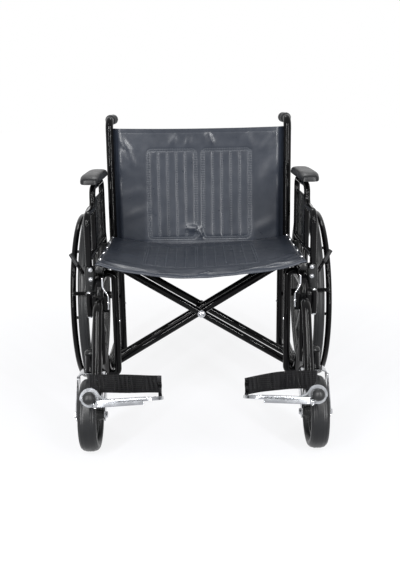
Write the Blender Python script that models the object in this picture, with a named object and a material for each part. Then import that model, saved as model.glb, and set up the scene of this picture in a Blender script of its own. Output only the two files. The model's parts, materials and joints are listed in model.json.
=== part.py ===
"""Folding extra-wide wheelchair with desk arms and swing-away footrests.

Units are metres, +Z is up, the chair faces -Y and the sitter's left is +X.
The origin is on the floor, at the middle of the chair's length and width.
Everything on one side is drawn for the left and mirrored by the sign `side`.
"""

import math

import bmesh
import bpy
from mathutils import Matrix, Vector

GAP = 0.0003              # clearance left between pieces that touch
EMBED = 0.004             # how far a welded piece reaches into its neighbour
TUBE_SIDES = 8            # facets round a frame tube
BEND_STEPS = 3            # facets round a tube bend

# Side frames
FRAME_X = 0.2925          # middle of the chair to the middle of a side frame
FRAME_TUBE = 0.0127       # radius of the frame's tube
UPPER_Z = 0.458           # upper rail
LOWER_Z = 0.140           # lower rail, which the cross brace hinges on
LOWER_TUBE = 0.0127
FRONT_Y = -0.202          # front upright
FRAME_BEND = 0.045
STRUT_X = 0.259           # inner uprights that double the frame
STRUT_TUBE = 0.0105
STRUT_YS = (-0.087, 0.113)
STRUT_BEND = 0.022
UPRIGHT_FOOT_Z = 0.2155   # the front upright stops above the caster's fork
STAY_Z = 0.285            # where the sloping stay leaves the front upright
STAY_FOOT_Y = -0.068      # where it turns into the lower rail, clear of the caster's circle
STAY_BEND = 0.025

# Back canes and grips
CANE_Y = 0.235            # cane at the height of the seat rails
CANE_LEAN = math.radians(1.86)
CANE_FOOT_Z = 0.121
HANDLE_Z = 0.8945
HANDLE_BEND = 0.033
HANDLE_LENGTH = 0.140
GRIP_RADIUS = 0.0165
GRIP_LENGTH = 0.095
GRIP_END = 0.004

# Seat rails and cross brace
RAIL_X = 0.2920
RAIL_Z = 0.4934
RAIL_TUBE = 0.0111
RAIL_FRONT_Y = -0.187
RAIL_REAR_Y = 0.215
SADDLE_YS = (-0.130, 0.160)
SADDLE_LENGTH = 0.036
SADDLE_WIDTH = 0.020
PLUG_LENGTH = 0.006
BRACE_Y = 0.010
BRACE_TUBE = 0.0110
OUTER_ARM_OFFSET = 0.0500  # the two tubes of the outer arm lie this far from BRACE_Y
INNER_ARM_OFFSET = 0.0265
SLEEVE_WALL = 0.0029
SLEEVE_END = 0.0125        # sleeve beyond the middle of its arm's tube
BRACE_BOLT = 0.005
BOLT_HEAD = 0.0095
BOLT_HEAD_LENGTH = 0.006

# Rear wheels
WHEEL_RADIUS = 0.309
TYRE_AHEAD = 0.079         # the tyre's foremost point ahead of the middle of the chair
AXLE_Y = WHEEL_RADIUS - TYRE_AHEAD
WHEEL_X = 0.3605
TYRE_WIDTH = 0.032
TYRE_DEPTH = 0.028
RIM_DEPTH = 0.0225
RIM_WIDTH = 0.024
HUB_RADIUS = 0.027
HUB_INNER_X = 0.3350
HUB_OUTER_X = 0.3900
SPOKES = 8
SPOKE_WIDTH = 0.024
SPOKE_DEPTH = 0.012
WHEEL_FACETS = 32
AXLE_RADIUS = 0.0065
AXLE_HEAD = 0.0125
AXLE_HEAD_LENGTH = 0.007
AXLE_BOSS = 0.0125
AXLE_LUG = 0.006           # half height of the lug that joins the boss to the cane
AXLE_BOSS_INNER_X = 0.272
AXLE_BOSS_OUTER_X = 0.3325
HANDRIM_X = 0.394
HANDRIM_INSET = 0.038      # from the tread in to the push rim's middle
HANDRIM_TUBE = 0.009
HANDRIM_FACETS = 32
HANDRIM_TAB = 0.0045

# Casters
STEM_X = 0.316
STEM_Y = -0.249
STEM_RADIUS = 0.0070
BARREL_RADIUS = 0.0180
BARREL_BOTTOM = 0.2120
BARREL_TOP = 0.2650
BARREL_BORE_DEPTH = 0.046
BRIDGE_WIDTH = 0.012      # block between the barrel and the front upright
CAP_HEIGHT = 0.0105
TRAIL = 0.058
CASTER_RADIUS = 0.1016
CASTER_WIDTH = 0.0506
CASTER_TYRE_DEPTH = 0.027
CASTER_DISC_WIDTH = 0.026
CASTER_HUB = 0.019
CASTER_HUB_WIDTH = 0.072
CASTER_FACETS = 24
CASTER_TURN = {1: 0.0, -1: 0.0}
FORK_INSIDE = 0.0375      # from the wheel's middle to a leg's inner face
FORK_WALL = 0.0035
FORK_CROWN_Z = 0.2070
FORK_FOOT = 0.017
FORK_TOP_WIDTH = 0.046
FORK_AXLE = 0.0050
FORK_NUT = 0.0088
FORK_NUT_LENGTH = 0.0060

# Armrests
ARM_X = 0.3215
ARM_TUBE = 0.0095
ARM_FRONT_Y = -0.167
ARM_STEP_Y = -0.027
ARM_STEP_Z = 0.645
ARM_REAR_Y = 0.200
ARM_TOP_Z = 0.706
ARM_BAR_Z = 0.5165
ARM_BAR_TUBE = 0.0080
ARM_FOOT_Z = 0.441
ARM_BEND = 0.026
PAD_FRONT_Y = -0.070
PAD_REAR_Y = 0.185
PAD_WIDTH = 0.070
PAD_EDGE = 0.030          # height of the pad's side above its seat on the tube
PAD_CROWN = 0.0112
PAD_DROOP = 0.010         # how far the sides hang below the seat
PANEL_WALL = 0.0030
SOCKET_LENGTH = 0.034
SOCKET_INNER_X = 0.3055
SOCKET_OUTER_X = 0.3345
SOCKET_BOTTOM = 0.4280
SOCKET_TOP = 0.4980
SOCKET_FLOOR = 0.010

# Footrests
HINGE_X = 0.3180
HINGE_Y = -0.2215
HINGE_PIN = 0.0045
HINGE_SLEEVE = 0.0085
HINGE_LOWER_Z = 0.370
HINGE_UPPER_Z = 0.428
LUG_HEIGHT = 0.005
HANGER_X = 0.2875
HANGER_TUBE = 0.0127
HANGER_TOP_Z = 0.405
HANGER_ELBOW_Y = -0.283
HANGER_BEND = 0.030
HANGER_SLOPE = math.radians(65.0)
HANGER_END_Z = 0.222
HANGER_BORE = 0.0112
HANGER_BORE_LENGTH = 0.150
CARRIER_INNER_X = 0.262   # plate that joins the hanger to its hinge sleeve
CARRIER_FRONT_Y = -0.2245
CARRIER_WALL = 0.005
CARRIER_AIR = 0.006
LATCH_X = 0.2640
LATCH_TOP_Z = 0.478
LATCH_BOTTOM_Z = 0.386
LATCH_WALL = 0.004
LATCH_WIDTH = 0.012
EXTENSION_TUBE = 0.0108
EXTENSION_OVERLAP = 0.130
FOOT_Z = 0.1845            # where the extension turns forward
FOOT_BEND = 0.020
ROD_RADIUS = 0.0100
ROD_TILT = math.radians(22.0)
ROD_LENGTH = 0.1475
ROD_CAP = 0.0163
PLATE_INNER_X = 0.106
PLATE_REAR = 0.016        # plate's rear edge, along the rod from its heel
PLATE_SHORT = 0.0030       # plate's front edge behind the middle of the rod's cap
PLATE_FRONT = ROD_LENGTH - PLATE_SHORT
PLATE_ROLL = math.radians(3.0)
PLATE_CORNER = 0.045
PLATE_LIP = 0.0175        # depth of the turned-down front edge
PLATE_LIP_WALL = 0.006
PLATE_TOP = -0.0075       # plate's upper face below the rod's axis
PLATE_THICKNESS = 0.0090
SLEEVE_RADIUS = 0.0215
SLEEVE_REAR = 0.0235      # ends of the plate's sleeve, along the rod
SLEEVE_SHORT = 0.0175      # sleeve's front end behind the middle of the rod's cap
SLEEVE_FRONT = ROD_LENGTH - SLEEVE_SHORT
SLEEVE_FLAT = -0.0165     # flat underside of the sleeve
SLEEVE_FLANGE = 0.0235
SLEEVE_FLANGE_LENGTH = 0.006
WEB_PROUD = 0.0005         # upright web between the sleeve and the tread, past the flange
WEB_TOP = 0.001
LOOP_BOTTOM = 0.0146      # lower edge above the rod's axis
LOOP_HEIGHT = 0.0500
LOOP_REAR = 0.0133         # the strap stands just behind the plate's rear edge
LOOP_LEG = 0.008          # width of the gathered end that drops to the plate
LOOP_WALL = 0.0024
LOOP_OUTER_X = 0.304
LOOP_BOW = 0.004
LOOP_STEPS = 10

# Wheel locks
LOCK_REACH = 0.0199        # pivot ahead of the shoe
LOCK_PIVOT_Z = 0.428
LOCK_PIVOT = 0.004
LOCK_WALL = 0.0035
SHOE_Z = 0.396
SHOE_RADIUS = 0.006
SHOE_AIR = 0.009          # between the shoe and the tyre when the lock is off
SHOE_END_X = 0.3865
LEVER_RADIUS = 0.0060
LEVER_ELBOW = (0.349, 0.004, 0.459)    # its Y is counted from the pivot
LEVER_TIP = (0.386, 0.012, 0.520)      # likewise

# Upholstery
SEAT_THICKNESS = 0.0090
SEAT_SAG_FRONT = 0.034
SEAT_SAG_REAR = 0.024
SEAT_LIP = 0.009          # extra dip of the front edge
SEAT_OVERHANG = 0.008     # cloth past the middle of a seat rail
SEAT_FRONT_Y = -0.193
SEAT_REAR_Y = 0.216
BACK_BOTTOM_Z = 0.480
BACK_TOP_Z = 0.869
BACK_TOP_SAG = 0.004
BACK_THICKNESS = 0.0085
BACK_BELLY = 0.010
BACK_EDGE_X = 0.300
BACK_CLEAR = 0.0018       # between the sling and the canes it hangs behind
PANEL_OUTER_X = 0.172     # stitched panels, from the middle of the chair
PANEL_INNER_X = 0.017
CHANNELS = 5
CHANNEL_DEPTH = 0.0016
SLING_ROWS = (0.0, 0.05, 0.12, 0.28, 0.45, 0.62, 0.78, 0.92, 1.0)


def paint(name, colour, roughness, metallic=0.0):
    """A Principled material in one colour."""
    finish = bpy.data.materials.new(name)
    finish.use_nodes = True
    shader = finish.node_tree.nodes["Principled BSDF"]
    shader.inputs["Base Color"].default_value = (*colour, 1.0)
    shader.inputs["Roughness"].default_value = roughness
    shader.inputs["Metallic"].default_value = metallic
    return finish


def at(side, x, y, z):
    """A point given for the left side, mirrored when side is -1."""
    return Vector((side * x, y, z))


def mesh_object(bm):
    """A loose object from a bmesh, its faces turned outwards."""
    bmesh.ops.recalc_face_normals(bm, faces=bm.faces)
    mesh = bpy.data.meshes.new("piece")
    bm.to_mesh(mesh)
    bm.free()
    piece = bpy.data.objects.new("piece", mesh)
    bpy.context.collection.objects.link(piece)
    return piece


def evaluated(piece):
    """Replace an object by a plain mesh object with its modifiers applied."""
    bpy.context.view_layer.update()
    shape = piece.evaluated_get(bpy.context.evaluated_depsgraph_get())
    mesh = bpy.data.meshes.new_from_object(shape)
    plain = bpy.data.objects.new("piece", mesh)
    bpy.context.collection.objects.link(plain)
    bpy.data.objects.remove(piece)
    return plain


def combine(base, others, operation):
    """Boolean of base with the other pieces, which are used up."""
    for other in others:
        step = base.modifiers.new(operation, "BOOLEAN")
        step.operation = operation
        step.solver = "EXACT"
        step.object = other
    result = evaluated(base)
    for other in others:
        bpy.data.objects.remove(other)
    return result


def rounded(corners, bend):
    """The corner points with each inner corner turned into an arc."""
    points = [corners[0]]
    for before, corner, after in zip(corners, corners[1:], corners[2:]):
        back = (before - corner).normalized()
        ahead = (after - corner).normalized()
        half = back.angle(ahead) / 2
        reach = min(bend / math.tan(half), (before - corner).length * 0.49, (after - corner).length * 0.49)
        radius = reach * math.tan(half)
        centre = corner + (back + ahead).normalized() * (radius / math.sin(half))
        start = (corner + back * reach - centre).normalized()
        end = (corner + ahead * reach - centre).normalized()
        points += [centre + start.slerp(end, step / BEND_STEPS) * radius for step in range(BEND_STEPS + 1)]
    points.append(corners[-1])
    return points


def tube(corners, radius, bend=0.02, sides=TUBE_SIDES):
    """A solid bar along the corners, with rounded bends."""
    curve = bpy.data.curves.new("path", "CURVE")
    curve.dimensions = "3D"
    curve.bevel_depth = radius
    curve.bevel_resolution = sides // 2 - 2
    curve.use_fill_caps = True
    points = rounded([Vector(corner) for corner in corners], bend)
    spline = curve.splines.new("POLY")
    spline.points.add(len(points) - 1)
    for point, place in zip(spline.points, points):
        point.co = (*place, 1.0)
    bar = bpy.data.objects.new("path", curve)
    bpy.context.collection.objects.link(bar)
    bar = evaluated(bar)
    bm = bmesh.new()
    bm.from_mesh(bar.data)
    bpy.data.objects.remove(bar)
    bmesh.ops.remove_doubles(bm, verts=bm.verts, dist=0.00001)
    return mesh_object(bm)


def rod(start, end, radius, end_radius=None, sides=12):
    """A straight round bar or cone from start to end."""
    start, end = Vector(start), Vector(end)
    direction = end - start
    turn = direction.to_track_quat("Z", "Y").to_matrix().to_4x4()
    bm = bmesh.new()
    bmesh.ops.create_cone(bm, cap_ends=True, segments=sides, radius1=radius,
                          radius2=radius if end_radius is None else end_radius, depth=direction.length,
                          matrix=Matrix.Translation((start + end) / 2) @ turn)
    return mesh_object(bm)


def turning(radius, sides):
    """Radius of a faceted bore in which a faceted pin turns freely."""
    return (radius + GAP) / math.cos(math.pi / sides)


def block(low, high, chamfer=0.0):
    """A box between two opposite corners, with its edges taken off."""
    low, high = Vector(low), Vector(high)
    size = [abs(b - a) for a, b in zip(low, high)]
    bm = bmesh.new()
    bmesh.ops.create_cube(bm, size=1.0,
                          matrix=Matrix.Translation((low + high) / 2) @ Matrix.Diagonal((*size, 1.0)))
    if chamfer:
        bmesh.ops.bevel(bm, geom=bm.edges[:], offset=chamfer, segments=1, profile=0.5, affect="EDGES",
                        material=-1)
    return mesh_object(bm)


def slab(outline, thickness):
    """A plate from its outline's points, thickened along the vector given."""
    bm = bmesh.new()
    face = bm.faces.new([bm.verts.new(point) for point in outline])
    grown = bmesh.ops.extrude_face_region(bm, geom=[face])
    moved = [item for item in grown["geom"] if isinstance(item, bmesh.types.BMVert)]
    bmesh.ops.translate(bm, vec=thickness, verts=moved)
    return mesh_object(bm)


def turned(profile, centre, facets, phase=0.0):
    """A ring about an axis along X: profile is a closed loop of (x, radius)."""
    centre = Vector(centre)
    bm = bmesh.new()
    flat = Matrix.Rotation(phase, 3, "X")
    loop = [bm.verts.new(centre + flat @ Vector((x, 0.0, radius))) for x, radius in profile]
    edges = [bm.edges.new(pair) for pair in zip(loop, loop[1:] + loop[:1])]
    bmesh.ops.spin(bm, geom=loop + edges, cent=centre, axis=(1, 0, 0), angle=math.tau, steps=facets,
                   use_merge=True)
    bmesh.ops.remove_doubles(bm, verts=bm.verts, dist=0.00001)
    return mesh_object(bm)


def flat_radius(radius, facets):
    """The corner radius of a many-sided ring whose flats lie at the radius given."""
    return radius / math.cos(math.pi / facets)


def empty(name, place, parent=None):
    """The empty that carries one moving body, set on that body's joint."""
    carrier = bpy.data.objects.new(name, None)
    carrier.empty_display_size = 0.03
    bpy.context.collection.objects.link(carrier)
    carrier.parent = parent
    carrier["place"] = Vector(place)
    origin = Vector(parent["place"]) if parent else Vector()
    carrier.location = Vector(place) - origin
    return carrier


def node(name, carrier, finish, pieces, cutters=()):
    """Weld the pieces, take the cutters off and hang the result on its carrier."""
    shape = pieces[0]
    if len(pieces) > 1:
        shape = combine(shape, pieces[1:], "UNION")
    if cutters:
        shape = combine(shape, cutters, "DIFFERENCE")
    origin = Vector(carrier["place"])
    shape.data.transform(Matrix.Translation(-origin))
    bm = bmesh.new()
    bm.from_mesh(shape.data)
    bmesh.ops.remove_doubles(bm, verts=bm.verts, dist=0.000002)
    bmesh.ops.dissolve_degenerate(bm, edges=bm.edges, dist=0.000002)
    bm.to_mesh(shape.data)
    bm.free()
    shape.data.materials.clear()
    shape.data.materials.append(finish)
    shape.data.shade_smooth()
    shape.data.set_sharp_from_angle(angle=math.radians(50))
    shape.name = name
    shape.data.name = name
    shape.parent = carrier
    return shape


def cane_y(z):
    """Where the leaning back cane is at a height."""
    return CANE_Y + (z - RAIL_Z) * math.tan(CANE_LEAN)


def side_frame(side, name, carrier, finish):
    """Welded frame of one side, with its inner uprights, saddles, barrel and hanger lugs."""
    rear = cane_y(UPPER_Z - FRAME_TUBE) - FRAME_TUBE - GAP
    foot = cane_y(LOWER_Z - LOWER_TUBE) - FRAME_TUBE - GAP
    pieces = [
        tube([at(side, FRAME_X, rear, UPPER_Z), at(side, FRAME_X, FRONT_Y, UPPER_Z),
              at(side, FRAME_X, FRONT_Y, UPRIGHT_FOOT_Z)], FRAME_TUBE, FRAME_BEND),
        tube([at(side, FRAME_X, FRONT_Y, STAY_Z), at(side, FRAME_X, STAY_FOOT_Y, LOWER_Z),
              at(side, FRAME_X, foot, LOWER_Z)], LOWER_TUBE, STAY_BEND)]
    for y, foot_y in zip(STRUT_YS, (STAY_FOOT_Y - EMBED, STRUT_YS[1])):
        pieces.append(tube([at(side, FRAME_X, foot_y, LOWER_Z), at(side, STRUT_X, y, LOWER_Z),
                            at(side, STRUT_X, y, UPPER_Z - STRUT_BEND), at(side, FRAME_X, y, UPPER_Z)],
                           STRUT_TUBE, STRUT_BEND))
    for y in SADDLE_YS:
        pieces.append(block(at(side, FRAME_X - SADDLE_WIDTH / 2, y - SADDLE_LENGTH / 2, UPPER_Z),
                            at(side, FRAME_X + SADDLE_WIDTH / 2, y + SADDLE_LENGTH / 2,
                               RAIL_Z - RAIL_TUBE - GAP)))
    pieces.append(rod(at(side, STEM_X, STEM_Y, BARREL_BOTTOM), at(side, STEM_X, STEM_Y, BARREL_TOP),
                      BARREL_RADIUS))
    pieces.append(block(at(side, FRAME_X - BRIDGE_WIDTH / 2, FRONT_Y, UPRIGHT_FOOT_Z + 0.002),
                        at(side, STEM_X - STEM_RADIUS / 2, STEM_Y, BARREL_TOP - 0.003)))
    for z in (HINGE_LOWER_Z - LUG_HEIGHT, HINGE_UPPER_Z):
        pieces.append(slab([at(side, FRAME_X - 0.008, FRONT_Y + 0.004, z), at(side, FRAME_X + 0.006,
                                                                              FRONT_Y + 0.006, z),
                            at(side, HINGE_X + 0.008, HINGE_Y + 0.005, z), at(side, HINGE_X + 0.008,
                                                                              HINGE_Y - 0.007, z),
                            at(side, HINGE_X - 0.007, HINGE_Y - 0.007, z)], (0, 0, LUG_HEIGHT)))
    pieces.append(rod(at(side, HINGE_X, HINGE_Y, HINGE_LOWER_Z - EMBED),
                      at(side, HINGE_X, HINGE_Y, HINGE_UPPER_Z + EMBED), HINGE_PIN, sides=8))
    bore = rod(at(side, STEM_X, STEM_Y, BARREL_BOTTOM - 0.01),
               at(side, STEM_X, STEM_Y, BARREL_BOTTOM + BARREL_BORE_DEPTH), STEM_RADIUS + GAP)
    node(name, carrier, finish, pieces, [bore])


def back_cane(side, name, carrier, finish):
    """Rear upright that runs up past the seat and back into the push handle."""
    top = cane_y(HANDLE_Z)
    cane = tube([at(side, FRAME_X, cane_y(CANE_FOOT_Z), CANE_FOOT_Z), at(side, FRAME_X, top, HANDLE_Z),
                 at(side, FRAME_X, top + HANDLE_LENGTH, HANDLE_Z)], FRAME_TUBE, HANDLE_BEND)
    boss = rod(at(side, AXLE_BOSS_INNER_X, AXLE_Y, WHEEL_RADIUS),
               at(side, AXLE_BOSS_OUTER_X, AXLE_Y, WHEEL_RADIUS), AXLE_BOSS)
    bore = rod(at(side, AXLE_BOSS_INNER_X - 0.01, AXLE_Y, WHEEL_RADIUS),
               at(side, AXLE_BOSS_OUTER_X + 0.01, AXLE_Y, WHEEL_RADIUS), AXLE_RADIUS + GAP)
    lug = block(at(side, FRAME_X - FRAME_TUBE / 2, AXLE_Y - AXLE_LUG, WHEEL_RADIUS - AXLE_LUG),
                at(side, FRAME_X + FRAME_TUBE / 2, cane_y(WHEEL_RADIUS) + AXLE_LUG,
                   WHEEL_RADIUS + AXLE_LUG))
    node(name, carrier, finish, [cane, boss, lug], [bore])


def hand_grip(side, name, carrier, finish):
    """Rubber grip pushed over the end of the handle."""
    end = cane_y(HANDLE_Z) + HANDLE_LENGTH
    start = end - GRIP_LENGTH
    body = rod(at(side, FRAME_X, start, HANDLE_Z), at(side, FRAME_X, end + GRIP_END, HANDLE_Z), GRIP_RADIUS)
    bore = rod(at(side, FRAME_X, start - 0.01, HANDLE_Z), at(side, FRAME_X, end + GAP, HANDLE_Z),
               FRAME_TUBE + GAP, sides=TUBE_SIDES * 2)
    node(name, carrier, finish, [body], [bore])


def rear_axle(side, name, carrier, finish):
    """Axle bolt through the rear upright, with a head outside and a nut inside."""
    bolt = rod(at(side, AXLE_BOSS_INNER_X - AXLE_HEAD_LENGTH, AXLE_Y, WHEEL_RADIUS),
               at(side, HUB_OUTER_X + GAP + EMBED, AXLE_Y, WHEEL_RADIUS), AXLE_RADIUS)
    head = rod(at(side, HUB_OUTER_X + GAP, AXLE_Y, WHEEL_RADIUS),
               at(side, HUB_OUTER_X + GAP + AXLE_HEAD_LENGTH, AXLE_Y, WHEEL_RADIUS), AXLE_HEAD, sides=6)
    nut = rod(at(side, AXLE_BOSS_INNER_X - GAP - AXLE_HEAD_LENGTH * 1.3, AXLE_Y, WHEEL_RADIUS),
              at(side, AXLE_BOSS_INNER_X - GAP, AXLE_Y, WHEEL_RADIUS), AXLE_HEAD, sides=6)
    node(name, carrier, finish, [bolt, head, nut])


def rear_wheel(side, name, carrier, finish):
    """Moulded wheel: rim, eight spokes and a long hub, bored for the axle."""
    centre = at(side, WHEEL_X, AXLE_Y, WHEEL_RADIUS)
    outer = flat_radius(WHEEL_RADIUS - TYRE_DEPTH - GAP, WHEEL_FACETS)
    inner = outer - RIM_DEPTH
    half = RIM_WIDTH / 2
    rim = turned([(-half, outer), (-half, inner + RIM_DEPTH * 0.25), (-half * 0.5, inner), (half * 0.5,
                                                                                            inner),
                  (half, inner + RIM_DEPTH * 0.25), (half,
                                                     outer)], centre, WHEEL_FACETS, math.pi / WHEEL_FACETS)
    hub = rod(at(side, HUB_INNER_X, AXLE_Y, WHEEL_RADIUS), at(side, HUB_OUTER_X, AXLE_Y, WHEEL_RADIUS),
              HUB_RADIUS, HUB_RADIUS * 0.8, sides=16)
    pieces = [rim, hub]
    for index in range(SPOKES):
        turn = Matrix.Rotation(index * math.tau / SPOKES, 4, "X")
        spoke = slab([Vector((-SPOKE_DEPTH / 2, -SPOKE_WIDTH / 2, HUB_RADIUS * 0.5)),
                      Vector((-SPOKE_DEPTH / 2, SPOKE_WIDTH / 2, HUB_RADIUS * 0.5)),
                      Vector((-SPOKE_DEPTH / 2, SPOKE_WIDTH * 0.32, inner + EMBED)),
                      Vector((-SPOKE_DEPTH / 2, -SPOKE_WIDTH * 0.32, inner + EMBED))], (SPOKE_DEPTH, 0, 0))
        spoke.data.transform(Matrix.Translation(centre) @ turn)
        pieces.append(spoke)
    bore = rod(at(side, HUB_INNER_X - 0.01, AXLE_Y, WHEEL_RADIUS), at(side, HUB_OUTER_X + 0.01, AXLE_Y,
                                                                      WHEEL_RADIUS),
               AXLE_RADIUS + GAP)
    node(name, carrier, finish, pieces, [bore])


def rear_tyre(side, name, carrier, finish):
    """Solid tyre on the rim, with flats so that it stands on the floor."""
    outer = flat_radius(WHEEL_RADIUS, WHEEL_FACETS)
    inner = flat_radius(WHEEL_RADIUS - TYRE_DEPTH, WHEEL_FACETS)
    half = TYRE_WIDTH / 2
    profile = [(-half * 0.8, inner), (-half, inner + TYRE_DEPTH * 0.45), (-half * 0.45, outer),
               (half * 0.45, outer), (half, inner + TYRE_DEPTH * 0.45), (half * 0.8, inner)]
    tyre = turned(profile, at(side, WHEEL_X, AXLE_Y, WHEEL_RADIUS), WHEEL_FACETS, math.pi / WHEEL_FACETS)
    node(name, carrier, finish, [tyre])


def handrim(side, name, carrier, finish):
    """Push rim with a tab to the wheel's rim at each spoke."""
    centre = at(side, HANDRIM_X, AXLE_Y, WHEEL_RADIUS)
    ring = WHEEL_RADIUS - HANDRIM_INSET
    foot = WHEEL_RADIUS - TYRE_DEPTH - RIM_DEPTH * 0.44
    profile = [(HANDRIM_TUBE * math.cos(index * math.tau / 6),
                ring + HANDRIM_TUBE * math.sin(index * math.tau / 6))
               for index in range(6)]
    pieces = [turned(profile, centre, HANDRIM_FACETS)]
    rim_face = WHEEL_X + RIM_WIDTH / 2 + GAP
    for index in range(SPOKES):
        angle = index * math.tau / SPOKES
        along, up = math.sin(angle), math.cos(angle)
        pieces.append(rod(at(side, rim_face, AXLE_Y + foot * along, WHEEL_RADIUS + foot * up),
                          at(side, HANDRIM_X, AXLE_Y + ring * along,
                             WHEEL_RADIUS + ring * up), HANDRIM_TAB, sides=6))
    node(name, carrier, finish, pieces)


def caster_cap(side, name, carrier, finish):
    """Dust cap on the caster barrel."""
    cap = rod(at(side, STEM_X, STEM_Y, BARREL_TOP + GAP), at(side, STEM_X, STEM_Y,
                                                             BARREL_TOP + GAP + CAP_HEIGHT),
              BARREL_RADIUS * 0.97, BARREL_RADIUS * 0.5)
    node(name, carrier, finish, [cap])


def caster_turn(side):
    """Swivel of a caster about its stem, as it stands."""
    place = at(side, STEM_X, STEM_Y, 0.0)
    return Matrix.Translation(place) @ Matrix.Rotation(CASTER_TURN[side], 4, "Z")


def caster_fork(side, name, carrier, finish):
    """Pressed fork with its stem, drawn about the stem and then turned."""
    legs = []
    for hand in (-1, 1):
        outline = [Vector((hand * FORK_INSIDE, FORK_TOP_WIDTH / 2, FORK_CROWN_Z)),
                   Vector((hand * FORK_INSIDE, -FORK_TOP_WIDTH / 2, FORK_CROWN_Z)),
                   Vector((hand * FORK_INSIDE, -TRAIL - FORK_FOOT, CASTER_RADIUS + 0.004)),
                   Vector((hand * FORK_INSIDE, -TRAIL - FORK_FOOT * 0.5, CASTER_RADIUS - FORK_FOOT)),
                   Vector((hand * FORK_INSIDE, -TRAIL + FORK_FOOT * 0.5, CASTER_RADIUS - FORK_FOOT)),
                   Vector((hand * FORK_INSIDE, -TRAIL + FORK_FOOT, CASTER_RADIUS + 0.004))]
        legs.append(slab(outline, (hand * FORK_WALL, 0, 0)))
    span = FORK_INSIDE + FORK_WALL
    crown = block((-span, -FORK_TOP_WIDTH / 2, FORK_CROWN_Z - 0.001),
                  (span, FORK_TOP_WIDTH / 2, BARREL_BOTTOM - GAP - 0.001))
    collar = rod((0, 0, FORK_CROWN_Z), (0, 0, BARREL_BOTTOM - GAP), BARREL_RADIUS * 0.75)
    stem = rod((0, 0, FORK_CROWN_Z + 0.001), (0, 0, BARREL_BOTTOM + BARREL_BORE_DEPTH - 0.003), STEM_RADIUS)
    bore = rod((-span - 0.01, -TRAIL, CASTER_RADIUS), (span + 0.01, -TRAIL, CASTER_RADIUS),
               FORK_AXLE + GAP, sides=8)
    pieces = [crown, collar, stem, *legs]
    for piece in [*pieces, bore]:
        piece.data.transform(caster_turn(side))
    node(name, carrier, finish, pieces, [bore])


def caster_axle(side, name, carrier, finish):
    """Caster bolt with its head and nut outside the fork's legs."""
    span = FORK_INSIDE + FORK_WALL + GAP
    pieces = [rod((-span - 0.002, -TRAIL, CASTER_RADIUS), (span + 0.002, -TRAIL, CASTER_RADIUS), FORK_AXLE,
                  sides=8)]
    for hand in (-1, 1):
        pieces.append(rod((hand * span, -TRAIL, CASTER_RADIUS), (hand * (span + FORK_NUT_LENGTH), -TRAIL,
                                                                 CASTER_RADIUS),
                          FORK_NUT, FORK_NUT * 0.7, sides=6))
    for piece in pieces:
        piece.data.transform(caster_turn(side))
    node(name, carrier, finish, pieces)


def caster_wheel(side, name, carrier, finish):
    """Moulded caster centre with a long hub."""
    outer = flat_radius(CASTER_RADIUS - CASTER_TYRE_DEPTH - GAP, CASTER_FACETS)
    centre = (0, -TRAIL, CASTER_RADIUS)
    half = CASTER_DISC_WIDTH / 2
    disc = turned([(-half, outer), (-half, outer - 0.008), (-half * 0.5, outer - 0.012), (-half * 0.5,
                                                                                          CASTER_HUB * 0.8),
                   (half * 0.5, CASTER_HUB * 0.8), (half * 0.5, outer - 0.012), (half, outer - 0.008), (half, outer)],
                  centre, CASTER_FACETS, math.pi / CASTER_FACETS)
    hub_half = CASTER_HUB_WIDTH / 2
    hub = turned([(-hub_half, FORK_AXLE + GAP), (-hub_half, CASTER_HUB * 0.7), (-half * 0.6, CASTER_HUB),
                  (half * 0.6, CASTER_HUB), (hub_half, CASTER_HUB * 0.7), (hub_half,
                                                                           FORK_AXLE + GAP)], centre, 12)
    for piece in (disc, hub):
        piece.data.transform(caster_turn(side))
    node(name, carrier, finish, [disc, hub])


def caster_tyre(side, name, carrier, finish):
    """Broad solid caster tyre with rounded shoulders."""
    outer = flat_radius(CASTER_RADIUS, CASTER_FACETS)
    inner = flat_radius(CASTER_RADIUS - CASTER_TYRE_DEPTH, CASTER_FACETS)
    half = CASTER_WIDTH / 2
    profile = [(-half * 0.9, inner), (-half, inner + CASTER_TYRE_DEPTH * 0.5), (-half * 0.68, outer),
               (half * 0.68, outer), (half, inner + CASTER_TYRE_DEPTH * 0.5), (half * 0.9, inner)]
    tyre = turned(profile, (0, -TRAIL, CASTER_RADIUS), CASTER_FACETS, math.pi / CASTER_FACETS)
    tyre.data.transform(caster_turn(side))
    node(name, carrier, finish, [tyre])


def arm_frame(side, name, carrier, finish):
    """Desk arm: one bent tube, a lower bar and an upright under the pad."""
    hoop = tube([at(side, ARM_X, ARM_FRONT_Y, ARM_FOOT_Z), at(side, ARM_X, ARM_FRONT_Y, ARM_STEP_Z),
                 at(side, ARM_X, ARM_STEP_Y, ARM_STEP_Z), at(side, ARM_X, ARM_STEP_Y, ARM_TOP_Z),
                 at(side, ARM_X, ARM_REAR_Y, ARM_TOP_Z), at(side, ARM_X, ARM_REAR_Y,
                                                            ARM_FOOT_Z)], ARM_TUBE, ARM_BEND)
    bar = rod(at(side, ARM_X, ARM_FRONT_Y, ARM_BAR_Z), at(side, ARM_X, ARM_REAR_Y, ARM_BAR_Z),
              ARM_BAR_TUBE, sides=8)
    post = rod(at(side, ARM_X, ARM_STEP_Y, ARM_BAR_Z), at(side, ARM_X, ARM_STEP_Y, ARM_STEP_Z),
               ARM_BAR_TUBE, sides=8)
    node(name, carrier, finish, [hoop, bar, post])


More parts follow.
